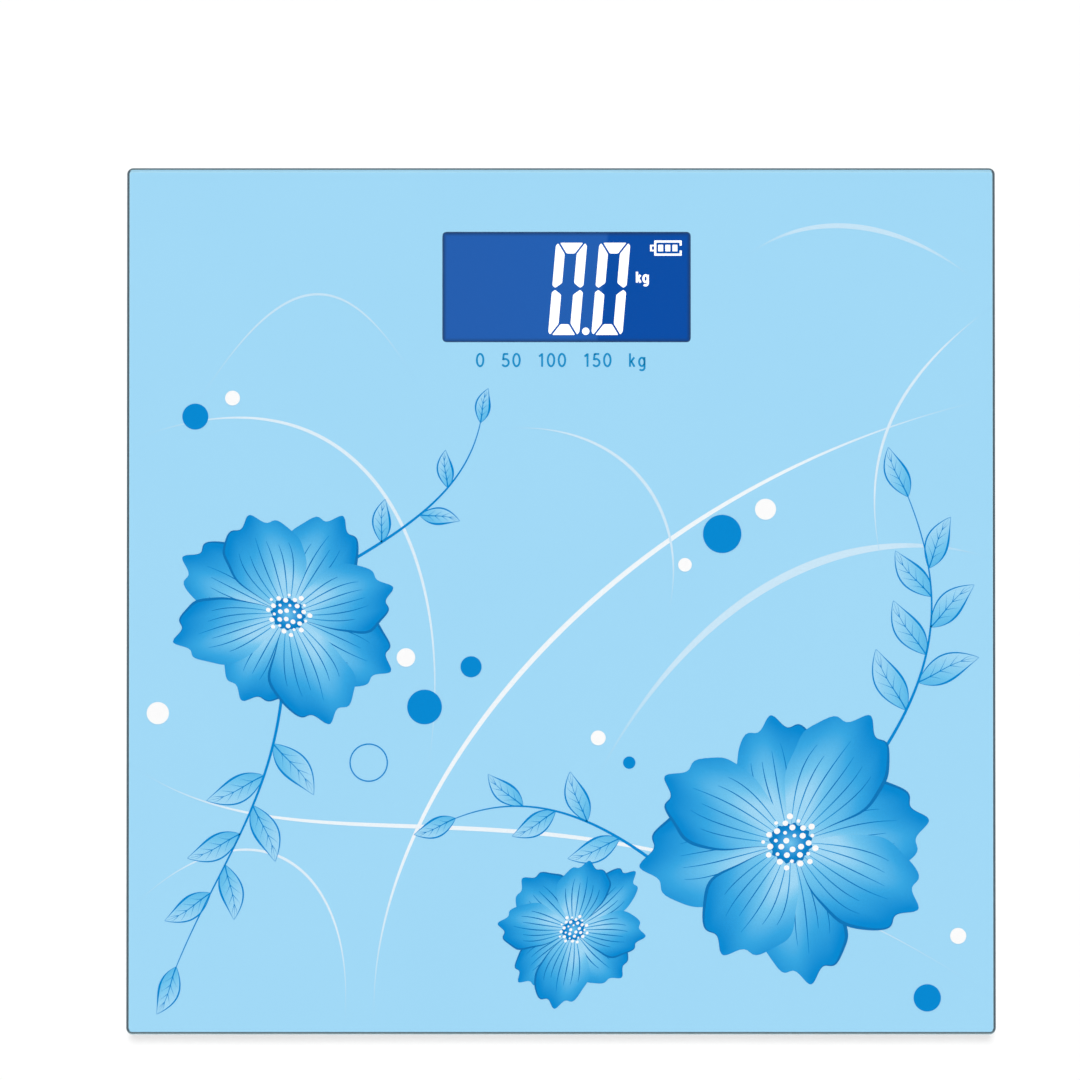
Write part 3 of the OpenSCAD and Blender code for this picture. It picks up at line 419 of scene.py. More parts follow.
class Web(Nodes):
    """Nodes of one material, with its shader and its patterns on the object's coordinates."""

    def __init__(self, name: str) -> None:
        """Makes the material with its shader and output.

        Args:
            name: name of the material.
        """
        self.material = bpy.data.materials.new(name)
        self.material.use_nodes = True
        super().__init__(self.material.node_tree)
        self.shader = self.tree.nodes["Principled BSDF"]
        self.output = self.tree.nodes["Material Output"]
        self.place = self.add("ShaderNodeTexCoord").outputs["Object"]

    def surface(self, **values: object) -> None:
        """Sets or links inputs of the shader, with _ for the spaces in their names."""
        for key, value in values.items():
            self.feed(self.shader, key.replace("_", " "), value)

    def show(self, shader: Socket) -> None:
        """Puts another shader on the output."""
        self.feed(self.output, 0, shader)

    def stretched(self, scale: Triple) -> Socket:
        """Object coordinates scaled per axis."""
        return self.add("ShaderNodeMapping", {"Vector": self.place, "Scale": scale}).outputs[0]

    def noise(self, size: float, detail: float = 3.0, rough: float = 0.55,
              at: Socket | None = None) -> Socket:
        """Cloudy noise.

        Args:
            size: size of the clouds in metres.
            detail: number of octaves.
            rough: weight of the finer octaves.
            at: coordinates, or None for the object's own.

        Returns:
            The noise, about 0.5 on average.
        """
        inputs = {"Vector": at or self.place, "Scale": 1 / size, "Detail": detail,
                  "Roughness": rough}
        return self.add("ShaderNodeTexNoise", inputs).outputs["Fac"]

    def cells(self, size: float) -> Socket:
        """Distance from cell centres of the given size in metres."""
        inputs = {"Vector": self.place, "Scale": 1 / size}
        return self.add("ShaderNodeTexVoronoi", inputs).outputs["Distance"]

    def stained(self, tone: object, stain: object, pattern: Socket, low: float, high: float,
                most: float = 1.0) -> Socket:
        """Colour with a second colour over it where a pattern is high.

        Args:
            tone, stain: the two colours.
            pattern: the pattern.
            low, high: levels of the pattern at which the stain starts and is full.
            most: share of the stain where it is full.

        Returns:
            The mixed colour.
        """
        return self.blend(self.span(pattern, low, high, 0.0, most), tone, stain)

    def relief(self, height: Socket, depth: float, strength: float) -> None:
        """Bumps the shader's normal.

        Args:
            height: the relief, 0 to 1.
            depth: its height in metres.
            strength: share of the bump that shows.
        """
        inputs = {"Height": height, "Distance": depth, "Strength": strength}
        self.surface(Normal=self.add("ShaderNodeBump", inputs).outputs[0])


# ---- Finishes ----


@dataclass(frozen=True)
class Finish:
    """Finish of a surface: each kind paints it with its own nodes."""

    name: str

    def paint(self, web: Web) -> None:
        """Adds the nodes of this kind."""
        raise NotImplementedError

    def material(self) -> bpy.types.Material:
        """Builds the material.

        Returns:
            The painted material.
        """
        web = Web(self.name)
        self.paint(web)
        return web.material


@dataclass(frozen=True)
class MouldedPlastic(Finish):
    """Injection-moulded plastic: faint flow clouds, a fine eroded texture, scuffed tone."""

    colour: Colour
    roughness: float = 0.42
    cloud: float = 0.05
    cloud_size: float = 9 * MM
    speck_size: float = 0.5 * MM
    scuff_size: float = 2.2 * MM
    grain_size: float = 0.35 * MM
    grain_depth: float = 0.02 * MM

    def paint(self, web: Web) -> None:
        """Clouds, darker specks, a roughness that wanders and an eroded grain.

        Args:
            web: nodes of the material.
        """
        tone = web.stained(shade(self.colour, 1 - self.cloud), shade(self.colour, 1.02),
                           web.noise(self.cloud_size, 4), 0.3, 0.7)
        tone = web.stained(tone, shade(self.colour, 1 - 2.4 * self.cloud),
                           web.noise(self.speck_size, 2), 0.62, 0.75, 0.5)
        rough = web.span(web.noise(self.scuff_size, 3), 0.3, 0.7, self.roughness - 0.06,
                         self.roughness + 0.08)
        web.surface(Base_Color=tone, Roughness=rough)
        web.relief(web.noise(self.grain_size, 3, 0.6), self.grain_depth, 0.6)


@dataclass(frozen=True)
class MouldedRubber(Finish):
    """Soft rubber: matt, with a dusty bloom, spots of painted pit shade and a fine moulded texture.
    """

    colour: Colour
    bloom: Colour
    roughness: float = 0.7
    dust_size: float = 4 * MM
    pit_shade_size: float = 0.6 * MM
    grain_size: float = 0.28 * MM
    grain_depth: float = 0.03 * MM

    def paint(self, web: Web) -> None:
        """Dust that is also rougher, dark spots of painted shade for pits, and a grain.

        Args:
            web: nodes of the material.
        """
        dust = web.span(web.noise(self.dust_size, 5, 0.65), 0.42, 0.72, 0.0, 0.5)
        tone = web.blend(dust, self.colour, self.bloom)
        # Painted shade: small dark spots stand in for the shade in pits.
        tone = web.stained(shade(self.colour, 0.6), tone, web.cells(self.pit_shade_size), 0.0, 0.25)
        web.surface(Base_Color=tone, Specular_IOR_Level=0.35,
                    Roughness=web.span(dust, 0.0, 0.5, self.roughness, self.roughness + 0.15))
        web.relief(web.noise(self.grain_size, 3, 0.6), self.grain_depth, 0.7)


@dataclass(frozen=True)
class RolledMetal(Finish):
    """Sheet or wire metal: fine rolling lines along one axis, cloudy tarnish."""

    colour: Colour
    roughness: float = 0.3
    line: Triple = (40.0, 2400.0, 2400.0)
    line_depth: float = 0.006 * MM
    tarnish: float = 0.35
    tarnish_size: float = 2.6 * MM

    def paint(self, web: Web) -> None:
        """Tarnish, then darker and rougher lines.

        Args:
            web: nodes of the material.
        """
        lines = web.noise(1.0, 2, 0.5, web.stretched(self.line))
        tone = web.stained(self.colour, shade(self.colour, 0.62),
                           web.noise(self.tarnish_size, 5, 0.6), 0.45, 0.75, self.tarnish)
        tone = web.stained(tone, shade(self.colour, 0.78), lines, 0.4, 0.62, 0.3)
        web.surface(Base_Color=tone, Metallic=1.0,
                    Roughness=web.span(lines, 0.3, 0.7, self.roughness - 0.07,
                                       self.roughness + 0.14))
        web.relief(lines, self.line_depth, 0.5)


@dataclass(frozen=True)
class ClosedFoam(Finish):
    """Foam tape: crowded closed cells between thin dark walls."""

    colour: Colour
    cell_size: float = 0.22 * MM
    cell_depth: float = 0.06 * MM
    cloud_size: float = 3 * MM

    def paint(self, web: Web) -> None:
        """Cells, lighter in the middle, evened out in clouds.

        Args:
            web: nodes of the material.
        """
        cells = web.cells(self.cell_size)
        tone = web.stained(shade(self.colour, 1.5), shade(self.colour, 0.5), cells, 0.1, 0.7)
        tone = web.stained(tone, self.colour, web.noise(self.cloud_size), 0.35, 0.7, 0.4)
        web.surface(Base_Color=tone, Roughness=0.85, Specular_IOR_Level=0.25)
        web.relief(cells, self.cell_depth, 0.8)


@dataclass(frozen=True)
class FloatGlass(Finish):
    """Clear toughened glass: it shows what is under it and mirrors by angle. Its ground edge is the
    glass's own grey-green, darkened with painted shade for the dark rim that refraction shows; its
    cut sides are pale, and both are a little clear. Seen from inside, its border carries a painted
    reflection of the print.

    The edge is where the distance beyond an inner square, measured as for a rounded square, is
    more than the corner radius less the bevel. It is darker, with more painted shade, and a little
    wider on the left and right flanks. Shadow rays and scattered rays pass it, so that it doesn't
    darken the print.
    """

    half: float
    corner: float
    bevel: float
    top: float
    # The edge colour is the glass's own green darkened as painted shade for the rim that refraction
    # shows; the flank colour is more painted shade on the left and right.
    edge: Colour = linear(70, 92, 100)
    flank_shade: Colour = linear(48, 62, 74)
    flank_shade_width: float = 0.18 * MM
    edge_solid: float = 0.94
    side: Colour = linear(190, 208, 204)
    side_solid: float = 0.8
    grit: Colour = linear(58, 84, 92)
    grit_lines: Triple = (2600.0, 2600.0, 900.0)
    grit_depth: float = 0.01 * MM
    # Colour and width of the painted reflection of the print on the border, seen from inside.
    painted_reflection: Colour = linear(176, 224, 246)
    reflection_width: float = 0.9 * MM

    def beyond_square(self, web: Web) -> list[Socket]:
        """Distances of a point beyond the inner square.

        Args:
            web: nodes of the material.

        Returns:
            The distances along x and along y, at least 0.
        """
        absolute = web.add("ShaderNodeVectorMath", {0: web.place}, operation="ABSOLUTE").outputs[0]
        inner = self.half - self.corner
        away = [web.math("SUBTRACT", web.axis(absolute, k), inner) for k in (0, 1)]
        return [web.math("MAXIMUM", distance, 0.0) for distance in away]

    def pane(self, web: Web, within: Socket) -> Socket:
        """Clear pane that mirrors on its top face.

        Args:
            web: nodes of the material.
            within: 1 where the face is seen from inside the glass.

        Returns:
            The shader.
        """
        clear = web.add("ShaderNodeBsdfTransparent").outputs[0]
        mirror = web.add("ShaderNodeBsdfPrincipled",
                         {"Base Color": (1, 1, 1, 1), "Metallic": 1.0, "Roughness": 0.015})
        angle = web.add("ShaderNodeFresnel", {0: 1.5}).outputs[0]
        upward = web.span(web.axis(web.place, 2), self.top - 0.5 * MM, self.top - 0.4 * MM)
        gloss = web.math("MULTIPLY", web.math("MULTIPLY", angle, upward),
                         web.math("SUBTRACT", 1.0, within))
        return web.layered(gloss, clear, mirror.outputs[0])

    def paint(self, web: Web) -> None:
        """Ground edge darkened with painted shade, and sides, over the pane, by the distance from
        the inner square.

        Args:
            web: nodes of the material.
        """
        across, along = self.beyond_square(web)
        squares = [web.math("MULTIPLY", distance, distance) for distance in (across, along)]
        reach = web.math("SQRT", web.math("ADD", *squares))
        # Painted shade: the edge is darker and wider on the left and right flanks.
        flank_shade = web.math("GREATER_THAN", across, along)
        wide = web.math("ADD", reach, web.math("MULTIPLY", flank_shade, self.flank_shade_width))
        rim, margin = self.corner - self.bevel, self.corner - self.reflection_width
        border = web.span(wide, rim - 0.02 * MM, rim + 0.04 * MM)
        outer = web.span(reach, self.corner - 0.05 * MM, self.corner - 0.01 * MM)
        grind = web.noise(1.0, 3, 0.6, web.stretched(self.grit_lines))
        tone = web.blend(outer, web.blend(flank_shade, self.edge, self.flank_shade), self.side)
        web.surface(Base_Color=web.stained(tone, self.grit, grind, 0.35, 0.7, 0.35), IOR=1.52,
                    Specular_IOR_Level=0.5, Roughness=web.span(grind, 0.3, 0.7, 0.18, 0.34))
        web.relief(grind, self.grit_depth, 0.4)
        within = web.add("ShaderNodeNewGeometry").outputs["Backfacing"]
        # Painted reflection of the print on the border where it is seen from inside the glass.
        painted_reflection = web.add("ShaderNodeBsdfPrincipled", {
            "Base Color": self.painted_reflection, "Roughness": 0.4, "Specular IOR Level": 0.1,
        })
        skin = web.layered(within, web.shader.outputs[0], painted_reflection.outputs[0])
        inside = web.math("MULTIPLY", within, web.span(reach, margin, margin + 0.03 * MM))
        solidity = web.span(outer, 0.0, 1.0, self.edge_solid, self.side_solid)
        solid = web.math("MULTIPLY", border, solidity)
        path = web.add("ShaderNodeLightPath").outputs
        passing = web.math("MAXIMUM", path["Is Shadow Ray"], path["Is Diffuse Ray"])
        share = web.math("MULTIPLY", web.math("SUBTRACT", 1.0, passing),
                         web.math("MAXIMUM", solid, inside))
        web.show(web.layered(share, self.pane(web, within), skin))


@dataclass(frozen=True)
class PrintedSheet(Finish):
    """Printed film: the face ink with a trace of screen mesh above its level, and its white
    backing below.
    """

    level: float
    mesh: Colour = linear(157, 214, 245)
    mesh_size: float = 0.3 * MM
    drift: Colour = linear(163, 219, 248)
    drift_size: float = 60 * MM
    backing: tuple[Colour, Colour] = (linear(226, 229, 230), linear(240, 242, 243))
    backing_size: float = 0.4 * MM

    def paint(self, web: Web) -> None:
        """Face ink with mesh and a slow drift, or the backing.

        Args:
            web: nodes of the material.
        """
        tone = web.stained(Ink.FACE.value, self.mesh, web.noise(self.mesh_size, 2), 0.35, 0.7,
                           0.35)
        tone = web.stained(tone, self.drift, web.noise(self.drift_size, 2), 0.3, 0.7, 0.4)
        cloth = web.span(web.noise(self.backing_size, 3), 0.3, 0.7)
        below = web.math("LESS_THAN", web.axis(web.place, 2), self.level)
        web.surface(Base_Color=web.blend(below, tone, web.blend(cloth, *self.backing)),
                    Specular_IOR_Level=0.2, Roughness=web.span(cloth, 0.0, 1.0, 0.45, 0.6))


@dataclass(frozen=True)
class PrintInk(Finish):
    """Ink of the motifs: the colour of each point, slightly mottled as screen ink dries."""

    mottle_size: float = 0.45 * MM

    def paint(self, web: Web) -> None:
        """Colour of each point, scaled by a noise.

        Args:
            web: nodes of the material.
        """
        tint = web.add("ShaderNodeAttribute", attribute_name="tint").outputs["Color"]
        mottle = web.span(web.noise(self.mottle_size, 3), 0.35, 0.7, 1.0, 0.94)
        tone = web.add("ShaderNodeVectorMath", {0: tint, "Scale": mottle}, operation="SCALE")
        web.surface(Base_Color=tone.outputs[0], Roughness=0.5, Specular_IOR_Level=0.05)


@dataclass(frozen=True)
class LitPanel(Finish):
    """Blue lit panel: a lighter field, which is a painted sheen of reflected light over the lit
    blue, and a deeper field that meet along a slanted line, brighter towards the lamps, with the
    faint cell pattern of the light guide, and dull with painted shade next to the window's edges,
    which shade it.

    The fields meet where x equals that of the sheen's edge plus the lean times the height above it.
    The corners of the window are low and high.
    """

    sheen_edge: Pair
    lean: float
    low: Pair
    high: Pair
    # The pale field is a painted sheen of reflected light; the deep field is the panel's own lit
    # blue.
    pale: Colour = linear(35, 98, 184)
    deep: Colour = linear(3, 79, 171)
    lamp: Colour = linear(46, 90, 160)
    guide: Colour = linear(30, 86, 160)
    guide_size: float = 0.5 * MM
    dull: Colour = linear(34, 58, 84)
    dull_width: float = 1.45 * MM

    def paint(self, web: Web) -> None:
        """Two fields, the lighter one a painted sheen, the glow of the lamps, the guide's cells and
        the edges dulled with painted shade.

        Args:
            web: nodes of the material.
        """
        x, y = (web.axis(web.place, k) for k in (0, 1))
        height = web.math("SUBTRACT", y, self.sheen_edge[1])
        line = web.math("MULTIPLY_ADD", height, self.lean, self.sheen_edge[0])
        # Painted sheen: the pale field, left of the slanted line.
        tone = web.stained(self.pale, self.deep, web.math("SUBTRACT", x, line), -0.5 * MM,
                           0.5 * MM)
        fade = web.span(x, self.low[0], (self.low[0] + self.high[0]) / 2, 0.12, 0.0)
        tone = web.blend(fade, tone, self.lamp)
        tone = web.stained(tone, self.guide, web.cells(self.guide_size), 0.1, 0.6, 0.06)
        nearest = self.dull_width
        for at, low, high in zip((x, y), self.low, self.high):
            nearest = web.math("MINIMUM", nearest, web.math("SUBTRACT", at, low))
            nearest = web.math("MINIMUM", nearest, web.math("SUBTRACT", high, at))
        # Painted shade: the panel dulls next to the window's edges.
        tone = web.blend(web.span(nearest, 0.3 * MM, self.dull_width, 0.62, 0.0), tone, self.dull)
        web.surface(Base_Color=web.blend(0.5, tone, (0, 0, 0, 1)), Roughness=0.35,
                    Emission_Color=tone, Emission_Strength=0.46, Specular_IOR_Level=0.08)


@dataclass(frozen=True)
class LitFigure(Finish):
    """Lit white figures, a touch cooler in places."""

    white: Colour = linear(255, 255, 255)
    cool: Colour = linear(246, 250, 255)
    cloud_size: float = 1.6 * MM

    def paint(self, web: Web) -> None:
        """White with cooler clouds, lit.

        Args:
            web: nodes of the material.
        """
        tone = web.stained(self.white, self.cool, web.noise(self.cloud_size, 2), 0.3, 0.7, 0.5)
        web.surface(Base_Color=tone, Emission_Color=tone, Emission_Strength=0.35, Roughness=0.4)


@dataclass(frozen=True)
class SolderMask(Finish):
    """Circuit board: green mask over fine raised tracks."""

    mask: Colour = linear(20, 84, 48)
    track: Colour = linear(44, 122, 66)
    track_depth: float = 0.03 * MM
    cloud: Colour = linear(16, 70, 42)
    cloud_size: float = 3 * MM

    def paint(self, web: Web) -> None:
        """Bent diagonal bands as tracks, and darker clouds.

        Args:
            web: nodes of the material.
        """
        bands = {"Vector": web.place, "Scale": 220.0, "Distortion": 9.0, "Detail Scale": 0.4}
        wave = web.add("ShaderNodeTexWave", bands, wave_type="BANDS", bands_direction="DIAGONAL")
        tracks = web.span(wave.outputs["Fac"], 0.62, 0.72)
        tone = web.blend(tracks, self.mask, self.track)
        tone = web.stained(tone, self.cloud, web.noise(self.cloud_size), 0.3, 0.7, 0.3)
        web.surface(Base_Color=tone, Roughness=0.3, Coat_Weight=0.4, Coat_Roughness=0.15)
        web.relief(tracks, self.track_depth, 0.7)


@dataclass(frozen=True)
class CellSleeve(Finish):
    """Battery: printed sleeve with a copper-coloured head, bare metal ends and a fine print
    grain. Where the head starts and what lies between the ends are shares of the length.
    """

    low: float
    high: float
    head_low: bool
    head_start: float = 0.70
    between_ends: Pair = (0.015, 0.965)
    blur: float = 0.005
    body: Colour = linear(38, 44, 54)
    head: Colour = linear(196, 150, 92)
    metal: Colour = linear(190, 190, 192)
    grain: Colour = linear(90, 86, 84)
    grain_size: float = 0.7 * MM
    scuff_size: float = 2 * MM

    def paint(self, web: Web) -> None:
        """Body, head and bare ends along the battery, then the grain.

        Args:
            web: nodes of the material.
        """
        along = web.span(web.axis(web.place, 0), self.low, self.high)
        along = web.math("SUBTRACT", 1.0, along) if self.head_low else along
        start, end = self.between_ends
        bare = web.math("MAXIMUM", web.span(along, end, end + self.blur),
                        web.span(along, start, start - self.blur))
        tone = web.stained(self.body, self.head, along, self.head_start,
                           self.head_start + self.blur)
        tone = web.blend(bare, tone, self.metal)
        tone = web.stained(tone, self.grain, web.noise(self.grain_size, 3), 0.4, 0.8, 0.2)
        rough = web.span(web.noise(self.scuff_size), 0.3, 0.7, 0.22, 0.36)
        web.surface(Base_Color=tone, Roughness=rough, Metallic=bare, Coat_Weight=0.3,
                    Coat_Roughness=0.1)


@dataclass(frozen=True)
class ClearPlastic(Finish):
    """Half-clear or milky plastic: soft depth by subsurface light, faint flow lines."""

    colour: Colour
    roughness: float = 0.2
    milk: float = 0.6
    milk_depth: float = 1.5 * MM
    flow: Triple = (300.0, 700.0, 300.0)
    flow_depth: float = 0.01 * MM

    def paint(self, web: Web) -> None:
        """Flow lines in tone, roughness and relief.

        Args:
            web: nodes of the material.
        """
        flow = web.noise(1.0, 4, 0.6, web.stretched(self.flow))
        web.surface(Base_Color=web.stained(self.colour, shade(self.colour, 0.9), flow, 0.35, 0.7),
                    Roughness=web.span(flow, 0.3, 0.7, self.roughness, self.roughness + 0.15),
                    Subsurface_Weight=self.milk, Subsurface_Scale=self.milk_depth)
        web.relief(flow, self.flow_depth, 0.4)


@dataclass(frozen=True)
class WireCoats(Finish):
    """Wires side by side, each in its own colour: glossy extruded coats with faint draw lines
    and handling dust. Each kind of run tells the wires apart by a formula for the wire number.
    """

    coats: tuple[Colour, ...] = (linear(186, 40, 34), linear(34, 34, 36), linear(232, 232, 228))
    pitch: float = 1.2 * MM
    dust: Colour = linear(140, 136, 132)
    dust_size: float = 1.5 * MM
    line_size: float = 0.25 * MM
    line_depth: float = 0.01 * MM

    def number(self, web: Web) -> Socket:
        """Number of the wire that a point belongs to, from 0."""
        raise NotImplementedError

    def paint(self, web: Web) -> None:
        """Coat of each wire, then the dust.

        Args:
            web: nodes of the material.
        """
        number = self.number(web)
        tone = self.coats[0]
        for index, coat in enumerate(self.coats[1:]):
            tone = web.blend(web.math("GREATER_THAN", number, index + 0.5), tone, coat)
        dust = web.span(web.noise(self.dust_size, 4), 0.4, 0.75, 0.0, 0.25)
        web.surface(Base_Color=web.blend(dust, tone, self.dust),
                    Roughness=web.span(dust, 0.0, 0.25, 0.3, 0.5))
        web.relief(web.noise(self.line_size, 2), self.line_depth, 0.5)


@dataclass(frozen=True)
class FrontLeads(WireCoats):
    """Three wires that run back along a side of the plate and then turn inwards.

    Formula: the number is 1 + max(|x| - foot x, y - foot y + 1.5 pitch) / pitch.
    """

    foot: Pair = (0.0, 0.0)

    def number(self, web: Web) -> Socket:
        """Tells the wires apart by the formula of this run.

        Args:
            web: nodes of the material.

        Returns:
            Number of the wire that a point belongs to, from 0.
        """
        along = web.math("SUBTRACT", web.math("ABSOLUTE", web.axis(web.place, 0)), self.foot[0])
        across = web.math("SUBTRACT", web.axis(web.place, 1), self.foot[1] - 1.5 * self.pitch)
        return web.math("MULTIPLY_ADD", web.math("MAXIMUM", along, across), 1 / self.pitch, 1.0)


@dataclass(frozen=True)
class BackLeads(WireCoats):
    """Three wires that leave a gauge, turn towards the foot's middle and then inwards.

    Formula: the number is min(max(y - start, turn - |x|), y - run) / pitch, with the places of
    wire 0 in each straight.
    """

    start: float = 0.0
    turn: float = 0.0
    run: float = 0.0

    def number(self, web: Web) -> Socket:
        """Tells the wires apart by the formula of this run.

        Args:
            web: nodes of the material.

        Returns:
            Number of the wire that a point belongs to, from 0.
        """
        y = web.axis(web.place, 1)
        first = web.math("SUBTRACT", y, self.start)
        second = web.math("SUBTRACT", self.turn, web.math("ABSOLUTE", web.axis(web.place, 0)))
        nearest = web.math("MINIMUM", web.math("MAXIMUM", first, second),
                           web.math("SUBTRACT", y, self.run))
        return web.math("DIVIDE", nearest, self.pitch)


@dataclass(frozen=True)
class BatteryLeads(WireCoats):
    """Two wires from the batteries, side by side all the way.

    Formula: a point is on the second wire where its x and y are both greater than those of the
    first place, which lies between the wires at their first turn, or than those of the last.
    """

    first: Pair = (0.0, 0.0)
    last: Pair = (0.0, 0.0)

    def number(self, web: Web) -> Socket:
        """Tells the wires apart by the formula of this run.

        Args:
            web: nodes of the material.

        Returns:
            Number of the wire that a point belongs to, from 0.
        """
        beyond = []
        for turn in (self.first, self.last):
            passed = [web.math("GREATER_THAN", web.axis(web.place, k), turn[k]) for k in (0, 1)]
            beyond.append(web.math("MINIMUM", *passed))
        return web.math("MAXIMUM", *beyond)


# ---- Pieces ----


def make_piece(name: str, patch: Patch, material: bpy.types.Material, body: str,
               thickness: float = 0.0) -> bpy.types.Object:
    """Makes a scene object from a patch and ties it to its body.

    Args:
        name: name of the piece.
        patch: its surface, in metres.
        material: its finish.
        body: the body it moves with.
        thickness: wall given to an open patch by a Solidify modifier.

    Returns:
        The object.
    """
    mesh = bpy.data.meshes.new(name)
    faces = [face for block in patch.faces for face in block.tolist()]
    mesh.from_pydata(patch.points.tolist(), [], faces)
    tint = mesh.attributes.new("tint", "FLOAT_COLOR", "POINT")
    colours = np.hstack([patch.tint, np.ones((len(patch.tint), 1))])
    tint.data.foreach_set("color", colours.ravel().astype(np.float32))
    mesh.materials.append(material)
    mesh.update()
    piece = bpy.data.objects.new(name, mesh)
    bpy.context.scene.collection.objects.link(piece)
    if thickness:
        wall = piece.modifiers.new("wall", "SOLIDIFY")
        wall.thickness = thickness
        wall.offset = -1
    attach(piece, body)
    LOG.info("%s: %d faces on %s", name, len(mesh.polygons), body)
    return piece


def dress(nodes: tuple[str, ...], finish: Finish) -> bpy.types.Material:
    """Gives solids from model.glb a finish.

    Args:
        nodes: names of the solids.
        finish: their finish.

    Returns:
        The material that they share.
    """
    material = finish.material()
    for name in nodes:
        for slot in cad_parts[name].material_slots:
            slot.material = material
        LOG.info("%s: %s", name, material.name)
    return material


def dress_all(finishes: dict[tuple[str, ...], Finish]) -> None:
    """Gives groups of solids their finishes."""
    for nodes, finish in finishes.items():
        dress(nodes, finish)


def middle_of(node: str) -> np.ndarray:
    """Middle of a solid, seen from above."""
    low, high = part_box(node)
    return np.array([low.x + high.x, low.y + high.y]) / 2


def window_corners() -> tuple[np.ndarray, np.ndarray]:
    """Finds the window in the sheet, a rim in from the outline of the display cell.

    Returns:
        Its lower left and upper right corner, seen from above.
    """
    low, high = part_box("lcd_front_glass")
    rim = np.array(WINDOW_RIM)
    return np.array([low.x, low.y]) + rim, np.array([high.x, high.y]) - rim


# ---- Motifs of the printed sheet ----


@dataclass
class PrintTiers:
    """Heights of the inks: the sheet's face, then thin tiers that lie one over another."""

    face: float
    pitch: float = 0.014 * MM
    thickness: float = 0.006 * MM
    creep: float = 0.0005 * MM
    creep_steps: int = 14

    def height(self, tier: int) -> float:
        """Height of the top of a tier."""
        return self.face + (tier + 1) * self.pitch

    def layered(self, patches: list[Patch], tier: int) -> list[Patch]:
        """Lays flat patches that overlap in one tier, so that neighbours don't share a plane.

        Formula: patch n lies a creep times the rest of n / creep steps above the tier.

        Args:
            patches: flat patches, the lowest first.
            tier: tier of the first.

        Returns:
            The patches at their heights.
        """
        level = self.height(tier)
        return [patch.raised(level + n % self.creep_steps * self.creep)
                for n, patch in enumerate(patches)]


def round_trip(count: int) -> tuple[np.ndarray, np.ndarray, np.ndarray]:
    """Trip round a blade, to its tip on one side and back on the other.

    Formula: at the angle t the share of the length is (1 - cos t) / 2, and the side is minus the
    sign of sin t.

    Args:
        count: number of points.

    Returns:
        Angle, share of the length and side of each point.
    """
    t = np.linspace(0, 2 * np.pi, count, endpoint=False)
    return t, (1 - np.cos(t)) / 2, -np.sign(np.sin(t))


@dataclass
class Petal:
    """Petal along +x from the origin, broad near its three-lobed tip. Sizes in millimetres."""

    length: float
    width: float
    side: float
    phase: float
    veins: int = 6

    def breadth(self, along: np.ndarray) -> np.ndarray:
        """Half width: width times (sin(pi a^1.5))^0.62 at the share a of the length."""
        return self.width * np.abs(np.sin(np.pi * along**1.5)) ** 0.62

    def outline(self, count: int) -> np.ndarray:
        """Closed outline.

        Formula: a round trip with the breadth and a slight ruffle as half width; near the tip the
        length swells with cos(3 pi v), where v is the share across, which gives three lobes.

        Args:
            count: number of points.

        Returns:
            Points of the outline.
        """
        t, along, side = round_trip(count)
        ruffle = 1 + 0.035 * np.sin(5 * t + self.phase) + 0.02 * np.sin(9 * t + 2 * self.phase)
        across = side * self.breadth(along) * ruffle
        lobes = 0.045 * np.clip((along - 0.7) / 0.3, 0, 1) * np.cos(3 * np.pi * across / self.width)
        return np.stack([self.length * along * (1 + lobes), across], axis=1)

    def blade(self) -> Patch:
        """Petal's face, as pale as the sheet at the throat, deep at the tip and along one side.

        Returns:
            The face in millimetres.
        """
        face = fan(self.outline(96), np.array([0.55 * self.length, 0.0]), 9)
        along = np.clip(face.points[:, 0] / self.length, 0, 1)
        across = face.points[:, 1] / self.width
        ridge = np.exp(-(((across - 0.25 * self.side) / 0.3) ** 2))
        rim = np.clip(np.abs(across) - 0.55, 0, 1)
        share = 0.05 + 0.92 * along**1.25 - 0.3 * ridge * (1 - 0.55 * along) + 0.5 * rim
        share = np.clip(share + 0.14 * self.side * -across, 0, 1)
        face.tint = wash(share, (Ink.FACE, Ink.SKY, Ink.MID, Ink.DEEP), (0.04, 0.26, 0.6, 0.92))
        return face

    def lines(self) -> list[Patch]:
        """Veins that fan from the throat, and a swelling stroke along part of the outline.

        Returns:
            The strokes in millimetres.
        """
        strokes = []
        for k in np.linspace(-0.72, 0.72, self.veins):
            reach = 0.8 - 0.22 * abs(k) + 0.06 * math.sin(9 * k + self.phase)
            s = np.linspace(0.1, reach, 26)
            sway = 0.02 * self.length * np.sin(5 * s + self.phase)
            path = np.stack([self.length * s, k * self.breadth(s) * 0.9 + sway * s], axis=1)
            vein = ribbon(path, 0.17 * np.sin(np.pi * (s - 0.09) / (reach - 0.05)) ** 0.8 + 0.02)
            vein.tint = wash(np.repeat(s, 3), (Ink.MID, Ink.NIGHT, Ink.DEEP), (0.1, 0.5, 0.85))
            strokes.append(vein)
        first, count = (18 if self.side > 0 else 82), 60
        swell = np.sin(np.linspace(0, np.pi, count)) ** 2
        path = self.outline(160)[first:first + count]
        stroke = ribbon(path, 0.05 + 0.011 * self.length * swell)
        return strokes + [stroke.inked(Ink.NIGHT)]


